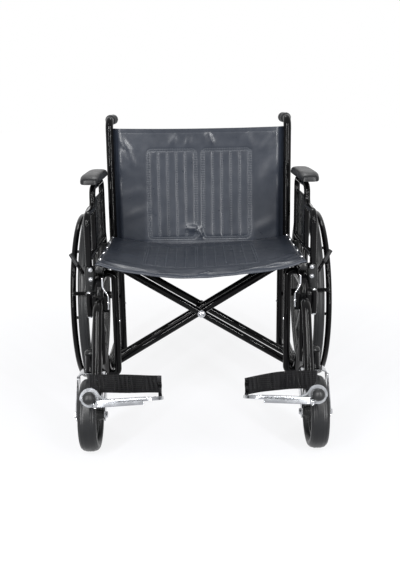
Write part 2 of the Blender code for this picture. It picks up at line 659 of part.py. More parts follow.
def arm_pad(side, name, carrier, finish):
    """Padded arm cover: crowned on top, drawn in at the sides, which hang past the tube."""
    seat = ARM_TOP_Z + ARM_TUBE + GAP
    middle = (PAD_FRONT_Y + PAD_REAR_Y) / 2
    bm = bmesh.new()
    bmesh.ops.create_grid(bm, x_segments=6, y_segments=12, size=0.5)
    grown = bmesh.ops.extrude_face_region(bm, geom=bm.faces[:])
    upper = {item for item in grown["geom"] if isinstance(item, bmesh.types.BMVert)}
    for vert in bm.verts:
        across, along = vert.co.x * 2, vert.co.y * 2
        narrow = 1.0 - 0.12 * along ** 8 - (0.03 if vert in upper else 0.0)
        height = -PAD_DROOP * across ** 4
        if vert in upper:
            height = PAD_EDGE * (1.0 - 0.12 * along ** 12) + PAD_CROWN * (1 - across ** 4) * (1 - along ** 12)
        vert.co = Vector((side * ARM_X + across * PAD_WIDTH / 2 * narrow,
                          middle + along * (PAD_REAR_Y - PAD_FRONT_Y) / 2 * (1.0 - 0.03 * across ** 4), seat + height))
    node(name, carrier, finish, [mesh_object(bm)])


def side_panel(side, name, carrier, finish):
    """Skirt guard between the arm's upright and its rear post."""
    front = ARM_STEP_Y + ARM_TUBE + GAP
    rear = ARM_REAR_Y - ARM_TUBE - GAP
    low = ARM_BAR_Z + ARM_BAR_TUBE + GAP
    high = ARM_TOP_Z - ARM_TUBE - GAP
    cut = ARM_BEND
    outline = [at(side, ARM_X - PANEL_WALL / 2, y, z) for y, z in
               ((front, low), (rear, low), (rear, high - cut), (rear - cut, high), (front + cut, high),
                (front, high - cut))]
    node(name, carrier, finish, [slab(outline, (side * PANEL_WALL, 0, 0))])


def arm_socket(side, name, carrier, finish, y):
    """Socket bolted to the upper rail that an arm's post drops into."""
    body = block(at(side, SOCKET_INNER_X, y - SOCKET_LENGTH / 2, SOCKET_BOTTOM),
                 at(side, SOCKET_OUTER_X, y + SOCKET_LENGTH / 2, SOCKET_TOP), 0.002)
    bore = rod(at(side, ARM_X, y, SOCKET_BOTTOM + SOCKET_FLOOR), at(side, ARM_X, y, SOCKET_TOP + 0.01),
               ARM_TUBE + GAP, sides=16)
    node(name, carrier, finish, [body], [bore])


def hanger(side, name, carrier, finish):
    """Footrest hanger: hinge sleeve, carrier plate and the bent drop tube."""
    root = CARRIER_FRONT_Y + CARRIER_WALL / 2
    drop = tube([at(side, HANGER_X, root, HANGER_TOP_Z), at(side, HANGER_X, HANGER_ELBOW_Y, HANGER_TOP_Z),
                 at(side, HANGER_X, *slope_point(HANGER_END_Z))], HANGER_TUBE, HANGER_BEND)
    sleeve = rod(at(side, HINGE_X, HINGE_Y, HINGE_LOWER_Z + GAP), at(side, HINGE_X, HINGE_Y,
                                                                     HINGE_UPPER_Z - GAP),
                 HINGE_SLEEVE)
    plate = block(at(side, CARRIER_INNER_X, CARRIER_FRONT_Y, HINGE_LOWER_Z + CARRIER_AIR),
                  at(side, HINGE_X - (HINGE_SLEEVE + HINGE_PIN) / 2, CARRIER_FRONT_Y + CARRIER_WALL,
                     HINGE_UPPER_Z - CARRIER_AIR))
    tip = at(side, HANGER_X, *slope_point(HANGER_END_Z - 0.01))
    up = (at(side, HANGER_X, *slope_point(HANGER_TOP_Z)) - tip).normalized()
    bore = rod(tip, tip + up * (0.01 + HANGER_BORE_LENGTH), HANGER_BORE, sides=16)
    pin_hole = rod(at(side, HINGE_X, HINGE_Y, HINGE_LOWER_Z - 0.01), at(side, HINGE_X, HINGE_Y,
                                                                        HINGE_UPPER_Z + 0.01),
                   turning(HINGE_PIN, 8), sides=8)
    node(name, carrier, finish, [drop, sleeve, plate], [bore, pin_hole])


def hanger_latch(side, name, carrier, finish):
    """Release lever on the carrier plate, bent out over the hanger for the thumb."""
    front = CARRIER_FRONT_Y - GAP
    middle = [(0.0, LATCH_BOTTOM_Z), (0.0, HANGER_TOP_Z + 0.020), (0.014, HANGER_TOP_Z + 0.046), (0.014, LATCH_TOP_Z)]
    half = LATCH_WIDTH / 2
    outline = [at(side, LATCH_X + x - half, front, z) for x, z in middle]
    outline += [at(side, LATCH_X + x + half, front, z) for x, z in reversed(middle)]
    node(name, carrier, finish, [slab(outline, (0, -LATCH_WALL, 0))])


def slope_point(z):
    """A point (y, z) on the middle line of the sloping hanger tube."""
    return HANGER_ELBOW_Y - (HANGER_TOP_Z - z) / math.tan(HANGER_SLOPE), z


def rod_frame(side, roll=0.0):
    """Turns points drawn about the footplate's rod into place: -Y runs forward along the rod."""
    y, z = slope_point(FOOT_Z)
    turn = Matrix.Rotation(-ROD_TILT, 4, "X") @ Matrix.Rotation(side * roll, 4, "Y")
    return Matrix.Translation(at(side, HANGER_X, y, z)) @ turn


def extension(side, name, carrier, finish):
    """Sliding tube of the footrest, which turns forward into the footplate's rod."""
    foot = at(side, HANGER_X, *slope_point(FOOT_Z))
    end = at(side, HANGER_X, *slope_point(HANGER_END_Z))
    top = end + (end - foot).normalized() * EXTENSION_OVERLAP
    upper = tube([top, foot, rod_frame(side) @ Vector((0, -SLEEVE_REAR + GAP, 0))], EXTENSION_TUBE,
                 FOOT_BEND)
    bar = rod(rod_frame(side) @ Vector((0, -FOOT_BEND, 0)),
              rod_frame(side) @ Vector((0, -ROD_LENGTH + ROD_CAP / 2, 0)), ROD_RADIUS)
    node(name, carrier, finish, [upper, bar])


def rod_cap(side, name, carrier, finish):
    """Round rubber cap on the front of the rod."""
    placed = rod_frame(side) @ Matrix.Translation((0, -ROD_LENGTH, 0)) @ Matrix.Rotation(math.pi / 2, 4,
                                                                                         "X")
    bm = bmesh.new()
    bmesh.ops.create_uvsphere(bm, u_segments=12, v_segments=8, radius=ROD_CAP, matrix=placed)
    bore = rod(rod_frame(side) @ Vector((0, -ROD_LENGTH + ROD_CAP * 2, 0)),
               rod_frame(side) @ Vector((0, -ROD_LENGTH + ROD_CAP / 2 - GAP, 0)), ROD_RADIUS + GAP)
    node(name, carrier, finish, [mesh_object(bm)], [bore])


def footplate(side, name, carrier, finish):
    """Aluminium footplate with its turned-down front edge and the long arched sleeve it turns on."""
    inner = HANGER_X - PLATE_INNER_X
    reach = ROD_CAP + 0.004
    outline = [(0.004, -SLEEVE_REAR), (-EXTENSION_TUBE - 0.002, -SLEEVE_REAR), (-reach, -PLATE_REAR),
               (-inner, -PLATE_REAR)]
    for step in range(4):
        turn = math.radians(30 * step)
        outline.append((-inner + PLATE_CORNER * (1 - math.cos(turn)),
                        -PLATE_FRONT + PLATE_CORNER * (1 - math.sin(turn))))
    outline += [(-reach, -PLATE_FRONT), (-reach, -SLEEVE_FRONT), (0.004, -SLEEVE_FRONT)]
    plate = slab([at(side, x, y, PLATE_TOP - PLATE_THICKNESS) for x, y in outline], (0, 0, PLATE_THICKNESS))
    lip = block(at(side, -inner + PLATE_CORNER, -PLATE_FRONT, PLATE_TOP - PLATE_LIP),
                at(side, -reach, -PLATE_FRONT + PLATE_LIP_WALL, PLATE_TOP - 0.001))
    sleeve = rod((0, -SLEEVE_FRONT, 0), (0, -SLEEVE_REAR, 0), SLEEVE_RADIUS, sides=16)
    flange = rod((0, -SLEEVE_FRONT, 0), (0, -SLEEVE_FRONT + SLEEVE_FLANGE_LENGTH, 0), SLEEVE_FLANGE,
                 sides=16)
    bore = rod((0, -SLEEVE_FRONT - 0.01, 0), (0, -SLEEVE_REAR + 0.01, 0), turning(ROD_RADIUS, 12), sides=12)
    under = block((-0.03, -ROD_LENGTH, SLEEVE_FLAT - 0.02), (0.03, 0, SLEEVE_FLAT))
    web = block(at(side, -SLEEVE_FLANGE - WEB_PROUD, -SLEEVE_FRONT - GAP, PLATE_TOP - PLATE_THICKNESS / 2),
                at(side, -(ROD_RADIUS + SLEEVE_RADIUS) / 2, -SLEEVE_REAR + GAP, WEB_TOP))
    shift = rod_frame(side, PLATE_ROLL)
    for piece in (plate, lip, sleeve, flange, web, bore, under):
        piece.data.transform(shift)
    node(name, carrier, finish, [plate, lip, sleeve, flange, web], [bore, under])


def heel_loop(side, name, carrier, finish):
    """Webbing strap across the rear edge of the footplate, its inner end gathered down to the plate."""
    inner = HANGER_X - PLATE_INNER_X - 0.010
    outer = LOOP_OUTER_X - HANGER_X
    strap = []
    for face in (0.0, LOOP_WALL):
        line = [(-inner + (outer + inner) * step / LOOP_STEPS,
                 step / LOOP_STEPS) for step in range(LOOP_STEPS + 1)]
        strap.append([(side * x, -LOOP_REAR - face - LOOP_BOW * math.sin(math.pi * part)) for x,
                      part in line])
    outline = strap[0] + strap[1][::-1]
    band = slab([Vector((x, y, LOOP_BOTTOM)) for x, y in outline], (0, 0, LOOP_HEIGHT))
    leg = block(at(side, -inner, -LOOP_REAR - LOOP_WALL, PLATE_TOP - PLATE_THICKNESS * 0.7),
                at(side, -inner + LOOP_LEG, -LOOP_REAR, LOOP_BOTTOM + LOOP_HEIGHT / 2))
    for piece in (band, leg):
        piece.data.transform(rod_frame(side, PLATE_ROLL))
    node(name, carrier, finish, [band, leg])


def lock_bracket(side, name, carrier, finish):
    """Plate of the wheel lock on the outer face of the upper rail, with its pivot pin."""
    inner = FRAME_X + FRAME_TUBE + GAP
    outline = [at(side, inner, lock_y() + y, z) for y, z in
               ((-0.022, UPPER_Z + 0.010), (0.022, UPPER_Z + 0.010), (0.016, LOCK_PIVOT_Z - 0.012),
                (-0.016, LOCK_PIVOT_Z - 0.012))]
    plate = slab(outline, (side * LOCK_WALL, 0, 0))
    pin = rod(at(side, inner + 0.001, lock_y(), LOCK_PIVOT_Z), at(side, inner + LOCK_WALL * 4, lock_y(),
                                                                  LOCK_PIVOT_Z),
              LOCK_PIVOT, sides=8)
    node(name, carrier, finish, [plate, pin])


def lock_y():
    """Where the lock's pivot stands, so that its shoe meets the tyre."""
    return shoe_y() - LOCK_REACH


def shoe_y():
    """How far forward the brake shoe's bar stands, clear of the tyre."""
    rise = SHOE_Z - WHEEL_RADIUS
    return AXLE_Y - math.sqrt((WHEEL_RADIUS + SHOE_AIR + SHOE_RADIUS) ** 2 - rise ** 2)


def lock_shoe(side, name, carrier, finish):
    """Shoe arm and the bar that presses on the tyre."""
    inner = FRAME_X + FRAME_TUBE + GAP + LOCK_WALL + GAP
    y = shoe_y()
    outline = [at(side, inner, lock_y() - 0.010, LOCK_PIVOT_Z + 0.010), at(side, inner, lock_y() + 0.010,
                                                                           LOCK_PIVOT_Z + 0.010),
               at(side, inner, y + 0.008, SHOE_Z - 0.008), at(side, inner, y - 0.008, SHOE_Z - 0.008)]
    arm = slab(outline, (side * LOCK_WALL, 0, 0))
    bar = rod(at(side, inner + 0.001, y, SHOE_Z), at(side, SHOE_END_X, y, SHOE_Z), SHOE_RADIUS, sides=8)
    hole = rod(at(side, inner - 0.002, lock_y(), LOCK_PIVOT_Z), at(side, inner + 0.01, lock_y(),
                                                                   LOCK_PIVOT_Z),
               turning(LOCK_PIVOT, 8), sides=8)
    node(name, carrier, finish, [arm, bar], [hole])


def lever_point(side, point):
    """A point of the lever's handle on this side."""
    return at(side, point[0], lock_y() + point[1], point[2])


def lock_lever(side, name, carrier, finish):
    """Hand lever of the wheel lock, leaning out to the hand."""
    inner = FRAME_X + FRAME_TUBE + GAP + 2 * (LOCK_WALL + GAP)
    outline = [at(side, inner, lock_y() - 0.011, LOCK_PIVOT_Z - 0.010), at(side, inner, lock_y() + 0.011,
                                                                           LOCK_PIVOT_Z - 0.010),
               at(side, inner, lock_y() + 0.008, LOCK_PIVOT_Z + 0.022), at(side, inner, lock_y() - 0.014,
                                                                           LOCK_PIVOT_Z + 0.022)]
    plate = slab(outline, (side * LOCK_WALL, 0, 0))
    handle = tube([at(side, inner + 0.0015, lock_y() - 0.004, LOCK_PIVOT_Z + 0.014), lever_point(side, LEVER_ELBOW),
                   lever_point(side, LEVER_TIP)], LEVER_RADIUS, 0.012)
    hole = rod(at(side, inner - 0.002, lock_y(), LOCK_PIVOT_Z), at(side, inner + 0.01, lock_y(),
                                                                   LOCK_PIVOT_Z),
               turning(LOCK_PIVOT, 8), sides=8)
    node(name, carrier, finish, [plate, handle], [hole])


def brace_arm(side, name, carrier, finish, offset):
    """Half of the cross brace: two tubes from a sleeve on this side's lower rail
    to the seat rail of the other side."""
    foot_sleeve = rod(at(side, FRAME_X, BRACE_Y - offset - SLEEVE_END, LOWER_Z),
                      at(side, FRAME_X, BRACE_Y + offset + SLEEVE_END,
                         LOWER_Z), LOWER_TUBE + GAP + SLEEVE_WALL)
    rail = tube([at(side, -RAIL_X, RAIL_FRONT_Y, RAIL_Z), at(side, -RAIL_X, RAIL_REAR_Y, RAIL_Z)],
                RAIL_TUBE)
    pieces = [foot_sleeve, rail]
    for y in (BRACE_Y - offset, BRACE_Y + offset):
        pieces.append(tube([at(side, FRAME_X, y, LOWER_Z), at(side, -RAIL_X, y, RAIL_Z)], BRACE_TUBE))
    rail_bore = rod(at(side, FRAME_X, BRACE_Y - 0.2, LOWER_Z), at(side, FRAME_X, BRACE_Y + 0.2, LOWER_Z),
                    LOWER_TUBE + GAP, sides=16)
    bolt_hole = rod((0, BRACE_Y - 0.2, brace_centre_z()), (0, BRACE_Y + 0.2, brace_centre_z()),
                    turning(BRACE_BOLT, 8), sides=8)
    node(name, carrier, finish, pieces, [rail_bore, bolt_hole])


def brace_centre_z():
    """Height of the bolt where the two arms cross."""
    share = FRAME_X / (FRAME_X + RAIL_X)
    return LOWER_Z + (RAIL_Z - LOWER_Z) * share


def brace_bolt(name, carrier, finish):
    """Bolt through all four brace tubes."""
    reach = OUTER_ARM_OFFSET + BRACE_TUBE + GAP
    z = brace_centre_z()
    shaft = rod((0, BRACE_Y - reach - 0.001, z), (0, BRACE_Y + reach + 0.001, z), BRACE_BOLT, sides=8)
    head = rod((0, BRACE_Y - reach, z), (0, BRACE_Y - reach - BOLT_HEAD_LENGTH, z), BOLT_HEAD,
               BOLT_HEAD * 0.6)
    nut = rod((0, BRACE_Y + reach, z), (0, BRACE_Y + reach + BOLT_HEAD_LENGTH, z), BOLT_HEAD, sides=6)
    node(name, carrier, finish, [shaft, head, nut])


def rail_plug(side, name, carrier, finish):
    """Round plug on the front end of a seat rail."""
    plug = rod(at(side, RAIL_X, RAIL_FRONT_Y - GAP, RAIL_Z), at(side, RAIL_X, RAIL_FRONT_Y - PLUG_LENGTH,
                                                                RAIL_Z),
               RAIL_TUBE, RAIL_TUBE * 0.8)
    node(name, carrier, finish, [plug])


def channel(x, margin):
    """Depth of the sewn channels at a place across a sling; margin falls to 0 at the panel's ends."""
    if margin <= 0 or not PANEL_INNER_X <= abs(x) <= PANEL_OUTER_X:
        return 0.0
    part = (abs(x) - PANEL_INNER_X) / (PANEL_OUTER_X - PANEL_INNER_X) * CHANNELS
    return CHANNEL_DEPTH * (1.0 - abs(math.sin(math.pi * part))) * min(1.0, margin * 5)


def sling_columns(edge, bends):
    """Places across a sling: its edge, the bends beside the tube, and four to each channel."""
    step = (PANEL_OUTER_X - PANEL_INNER_X) / (CHANNELS * 4)
    half = [0.0] + [PANEL_INNER_X + step * index for index in range(CHANNELS * 4 + 1)]
    half += [PANEL_OUTER_X + (bends[0] - PANEL_OUTER_X) * part / 3 for part in (1, 2)] + [*bends, edge]
    return [-x for x in reversed(half[1:])] + half


def sling(columns, near, far):
    """A closed cloth between two faces, each given as a function of x and of the row v from 0 to 1."""
    bm = bmesh.new()
    bmesh.ops.create_grid(bm, x_segments=len(columns) - 1, y_segments=len(SLING_ROWS) - 1, size=0.5)
    grown = bmesh.ops.extrude_face_region(bm, geom=bm.faces[:])
    outer = {item for item in grown["geom"] if isinstance(item, bmesh.types.BMVert)}
    for vert in bm.verts:
        x = columns[round((vert.co.x + 0.5) * (len(columns) - 1))]
        v = SLING_ROWS[round((vert.co.y + 0.5) * (len(SLING_ROWS) - 1))]
        vert.co = far(x, v) if vert in outer else near(x, v)
    return mesh_object(bm)


def seat_upholstery(name, carrier, finish):
    """Seat sling over both rails: it sags between them, most at its front lip."""
    edge = RAIL_X + SEAT_OVERHANG
    free = RAIL_X - RAIL_TUBE * 0.4
    carried = RAIL_Z + RAIL_TUBE + GAP

    def under(x, v):
        inside = max(0.0, 1.0 - (x / free) ** 2)
        sag = SEAT_SAG_FRONT + (SEAT_SAG_REAR - SEAT_SAG_FRONT) * v + SEAT_LIP * max(0.0, 1.0 - v / 0.12)
        return Vector((x, SEAT_FRONT_Y + (SEAT_REAR_Y - SEAT_FRONT_Y) * v, carried - sag * inside ** 0.8))

    def top(x, v):
        thin = 0.5 if abs(x) == edge or v in (0.0, 1.0) else 1.0
        return under(x, v) + Vector((0, 0, SEAT_THICKNESS * thin - channel(x, min(v - 0.05, 0.92 - v))))

    node(name, carrier, finish, [sling(sling_columns(edge, (free - 0.020, free)), under, top)])


def back_upholstery(name, carrier, finish):
    """Back sling, which leans with the canes and is fixed behind them."""
    behind = FRAME_X - FRAME_TUBE * 0.55
    between = FRAME_X - FRAME_TUBE - 0.008

    def front(x, v):
        z = BACK_BOTTOM_Z + (BACK_TOP_Z - BACK_TOP_SAG * (1 - (x / BACK_EDGE_X) ** 2) - BACK_BOTTOM_Z) * v
        step = min(1.0, max(0.0, (abs(x) - between) / (behind - between)))
        belly = BACK_BELLY * max(0.0, 1.0 - (x / between) ** 2) * math.sin(math.pi * v) ** 0.7
        sewn = channel(x, min(v - 0.04, 0.82 - v))
        return Vector((x, cane_y(z) + (FRAME_TUBE + BACK_CLEAR) * step + belly + sewn, z))

    def rear(x, v):
        thin = 0.5 if abs(x) == BACK_EDGE_X or v in (0.0, 1.0) else 1.0
        return front(x, v) + Vector((0, BACK_THICKNESS * thin - channel(x, min(v - 0.04, 0.82 - v)), 0))

    node(name, carrier, finish, [sling(sling_columns(BACK_EDGE_X, (between, behind)), front, rear)])


def build_side(side, hand, frame, finishes):
    """Everything that hangs on one side frame."""
    black, chrome, rubber, plastic, alloy, vinyl, webbing = finishes
    side_frame(side, f"{hand}_side_frame", frame, black)
    back_cane(side, f"{hand}_back_cane", frame, black)
    hand_grip(side, f"{hand}_hand_grip", frame, rubber)
    rear_axle(side, f"{hand}_rear_axle", frame, chrome)
    caster_cap(side, f"{hand}_caster_cap", frame, plastic)
    arm_socket(side, f"{hand}_front_arm_socket", frame, plastic, ARM_FRONT_Y)
    arm_socket(side, f"{hand}_rear_arm_socket", frame, plastic, ARM_REAR_Y)
    lock_bracket(side, f"{hand}_lock_bracket", frame, black)

    wheel = empty(f"{hand}_wheel_axis", at(side, WHEEL_X, AXLE_Y, WHEEL_RADIUS), frame)
    rear_wheel(side, f"{hand}_rear_wheel", wheel, plastic)
    rear_tyre(side, f"{hand}_rear_tyre", wheel, rubber)
    handrim(side, f"{hand}_handrim", wheel, black)

    swivel = empty(f"{hand}_swivel_axis", at(side, STEM_X, STEM_Y, FORK_CROWN_Z), frame)
    caster_fork(side, f"{hand}_caster_fork", swivel, chrome)
    caster_axle(side, f"{hand}_caster_axle", swivel, chrome)
    hub = caster_turn(side) @ Vector((0, -TRAIL, CASTER_RADIUS))
    roll = empty(f"{hand}_roll_axis", hub, swivel)
    caster_wheel(side, f"{hand}_caster_wheel", roll, plastic)
    caster_tyre(side, f"{hand}_caster_tyre", roll, rubber)

    arm = empty(f"{hand}_arm_axis", at(side, ARM_X, ARM_FRONT_Y, ARM_FOOT_Z), frame)
    arm_frame(side, f"{hand}_arm_frame", arm, black)
    arm_pad(side, f"{hand}_arm_pad", arm, vinyl)
    side_panel(side, f"{hand}_side_panel", arm, plastic)

    swing = empty(f"{hand}_swing_axis", at(side, HINGE_X, HINGE_Y, HANGER_TOP_Z), frame)
    hanger(side, f"{hand}_hanger", swing, black)
    latch = empty(f"{hand}_latch_axis", at(side, LATCH_X, CARRIER_FRONT_Y, HANGER_TOP_Z), swing)
    hanger_latch(side, f"{hand}_hanger_latch", latch, chrome)
    slide = empty(f"{hand}_slide_axis", at(side, HANGER_X, *slope_point(HANGER_END_Z)), swing)
    extension(side, f"{hand}_footrest_extension", slide, chrome)
    rod_cap(side, f"{hand}_footrest_cap", slide, rubber)
    flip = empty(f"{hand}_flip_axis", at(side, HANGER_X, *slope_point(FOOT_Z)), slide)
    footplate(side, f"{hand}_footplate", flip, alloy)
    heel_loop(side, f"{hand}_heel_loop", flip, webbing)

    lever = empty(f"{hand}_lever_axis", at(side, FRAME_X, lock_y(), LOCK_PIVOT_Z), frame)
    lock_lever(side, f"{hand}_lock_lever", lever, black)
    shoe = empty(f"{hand}_shoe_axis", at(side, FRAME_X, lock_y(), LOCK_PIVOT_Z), frame)
    lock_shoe(side, f"{hand}_lock_shoe", shoe, black)


def main():
    for item in list(bpy.data.objects):
        bpy.data.objects.remove(item)
    black = paint("black_enamel", (0.012, 0.012, 0.014), 0.22)
    chrome = paint("chrome_plate", (0.75, 0.76, 0.78), 0.12, 1.0)
    rubber = paint("black_rubber", (0.025, 0.025, 0.027), 0.7)
    plastic = paint("black_plastic", (0.03, 0.03, 0.033), 0.45)
    alloy = paint("cast_aluminium", (0.72, 0.73, 0.75), 0.35, 1.0)
    vinyl = paint("grey_vinyl", (0.045, 0.052, 0.060), 0.42)
    webbing = paint("black_webbing", (0.03, 0.03, 0.033), 0.8)
    finishes = (black, chrome, rubber, plastic, alloy, vinyl, webbing)

    right = empty("right_frame", at(-1, FRAME_X, BRACE_Y, LOWER_Z))
    inner_arm = empty("inner_arm_axis", at(-1, FRAME_X, BRACE_Y, LOWER_Z), right)
    outer_arm = empty("outer_arm_axis", (0, BRACE_Y, brace_centre_z()), inner_arm)
    left = empty("left_frame", at(1, FRAME_X, BRACE_Y, LOWER_Z), outer_arm)
    seat = empty("seat_axis", at(1, RAIL_X, BRACE_Y, RAIL_Z), inner_arm)

    build_side(-1, "right", right, finishes)
    build_side(1, "left", left, finishes)
    back_upholstery("back_upholstery", right, vinyl)
    brace_arm(-1, "inner_brace_arm", inner_arm, black, INNER_ARM_OFFSET)
    rail_plug(1, "left_rail_plug", inner_arm, plastic)
    brace_arm(1, "outer_brace_arm", outer_arm, black, OUTER_ARM_OFFSET)
    rail_plug(-1, "right_rail_plug", outer_arm, plastic)
    brace_bolt("brace_bolt", outer_arm, chrome)
    seat_upholstery("seat_upholstery", seat, vinyl)


main()
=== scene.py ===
"""Extra-wide folding wheelchair in a plain studio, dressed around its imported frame.

Units are metres, +Z is up, the chair faces -Y and the sitter's left is +X.
"""

import functools
import json
import logging
import math
from dataclasses import dataclass
from enum import Enum
from typing import Callable, Sequence

import bmesh
import bpy
from bmesh.types import BMEdge, BMFace, BMVert
from mathutils import Matrix, Vector, noise

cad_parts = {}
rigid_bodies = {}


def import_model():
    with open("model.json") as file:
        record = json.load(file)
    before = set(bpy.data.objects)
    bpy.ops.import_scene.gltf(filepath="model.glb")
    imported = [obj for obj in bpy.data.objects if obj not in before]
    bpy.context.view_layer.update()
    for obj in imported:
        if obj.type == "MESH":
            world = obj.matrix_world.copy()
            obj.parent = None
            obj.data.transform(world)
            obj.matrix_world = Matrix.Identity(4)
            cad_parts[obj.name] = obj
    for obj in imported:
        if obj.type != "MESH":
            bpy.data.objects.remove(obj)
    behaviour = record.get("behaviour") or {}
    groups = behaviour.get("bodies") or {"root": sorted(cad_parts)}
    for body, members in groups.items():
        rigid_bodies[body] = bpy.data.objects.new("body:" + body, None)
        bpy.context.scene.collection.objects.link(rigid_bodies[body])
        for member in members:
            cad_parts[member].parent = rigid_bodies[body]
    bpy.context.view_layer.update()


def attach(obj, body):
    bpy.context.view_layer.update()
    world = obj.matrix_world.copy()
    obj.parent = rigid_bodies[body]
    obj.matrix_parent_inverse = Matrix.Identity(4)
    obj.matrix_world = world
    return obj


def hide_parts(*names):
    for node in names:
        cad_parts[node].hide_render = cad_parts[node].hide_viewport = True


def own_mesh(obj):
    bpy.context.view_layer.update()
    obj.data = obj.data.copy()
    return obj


Pair = tuple[float, float]
Triple = tuple[float, float, float]
Socket = bpy.types.NodeSocket

LOG = logging.getLogger("wheelchair")
MERGE = 0.000002               # vertices nearer than this are one
STRAIGHT = math.radians(89.0)  # half the angle of a corner that needs no bend
CREST = 1.0                    # radians between the faces of an edge that gets rounded
BEND_STEPS = 10
ROUND = 24                     # facets round a tube
UP, DOWN, AHEAD, BACK = (0, 0, 1), (0, 0, -1), (0, -1, 0), (0, 1, 0)

GAP = 0.0003                   # clearance between pieces that meet
TUBE = 0.0127                  # radius of the frame's tubes
FRAME_X = 0.2925               # middle plane of a side frame
UPPER_Z = 0.458                # its upper rail
LOWER_Z = 0.14                 # its lower rail
RAIL = 0.0111                  # radius of the seat rails
RAIL_X, RAIL_Z = 0.292, 0.4934  # their middle lines
RAIL_YS = (-0.187, 0.215)      # their ends
WHEEL_Y, WHEEL_RADIUS = AXLE = (0.23, 0.309)  # rear axle, in Y and Z
STEM = (0.316, -0.249)         # caster stem, in X and Y
HINGE = (0.318, -0.2215)       # hanger hinge, in X and Y
HINGE_ZS = (0.37, 0.428)       # between its two lugs
PLY = 0.009                    # from a seat rail to the upper face of the sling at its edge
BACK_STEP = 0.0145             # how far the back sling passes behind the canes' middle
SEAT_YS = (-0.193, 0.216)      # front and rear edge of the seat sling
BACK_ZS = (0.48, 0.869)        # lower and upper edge of the back sling
SEAT_SPAN, BACK_SPAN = 0.28756, 0.2718  # half the free width of each, between its rails or canes
HEM = 0.013                    # from a sling's edge to its hem line
STITCH_PITCH = 0.008           # real stitches are 4 mm apart; these are wider apart, so that they show
STITCH_SIZE = (0.0034, 0.003, 0.0009)  # across, along and off the cloth


def srgb(code: str) -> tuple[float, float, float, float]:
    """Turn six hex digits of sRGB after a hash into linear RGBA."""
    parts = [int(code[place:place + 2], 16) / 255 for place in (1, 3, 5)]
    linear = [part / 12.92 if part <= 0.04045 else ((part + 0.055) / 1.055) ** 2.4 for part in parts]
    return (*linear, 1.0)


def add_node(tree: bpy.types.NodeTree, kind: str, settings: dict | None = None, links: dict | None = None,
             **attributes: object) -> bpy.types.Node:
    """Add a shader node.

    Args:
        tree: Node tree that takes it.
        kind: Blender's name of the node, after "ShaderNode".
        settings: Input sockets and their values.
        links: Input sockets and the output sockets that feed them.
        attributes: Properties of the node itself.

    Returns:
        The new node.
    """
    node = tree.nodes.new("ShaderNode" + kind)
    for name, value in attributes.items():
        setattr(node, name, value)
    for name, value in (settings or {}).items():
        node.inputs[name].default_value = value
    for name, socket in (links or {}).items():
        tree.links.new(socket, node.inputs[name])
    return node


def combine(tree: bpy.types.NodeTree, how: str, first: Socket, second: Socket) -> Socket:
    """Join two values with a maths node."""
    return add_node(tree, "Math", {}, {0: first, 1: second}, operation=how).outputs[0]


class Side(Enum):
    """The sitter's two sides of the chair."""

    RIGHT = -1
    LEFT = 1

    @property
    def hand(self) -> str:
        """The side's name in the frame."""
        return self.name.lower()

    def at(self, x: float, y: float, z: float) -> Vector:
        """A point given for the left, on this side."""
        return Vector((self.value * x, y, z))

    def across(self, reach: float) -> Vector:
        """A vector away from the chair's middle."""
        return Vector((self.value * reach, 0, 0))


class Surface(Enum):
    """How a surface was made, which decides its fine relief."""

    SMOOTH = "smooth"
    EMBOSSED = "embossed"
    WOVEN = "woven"


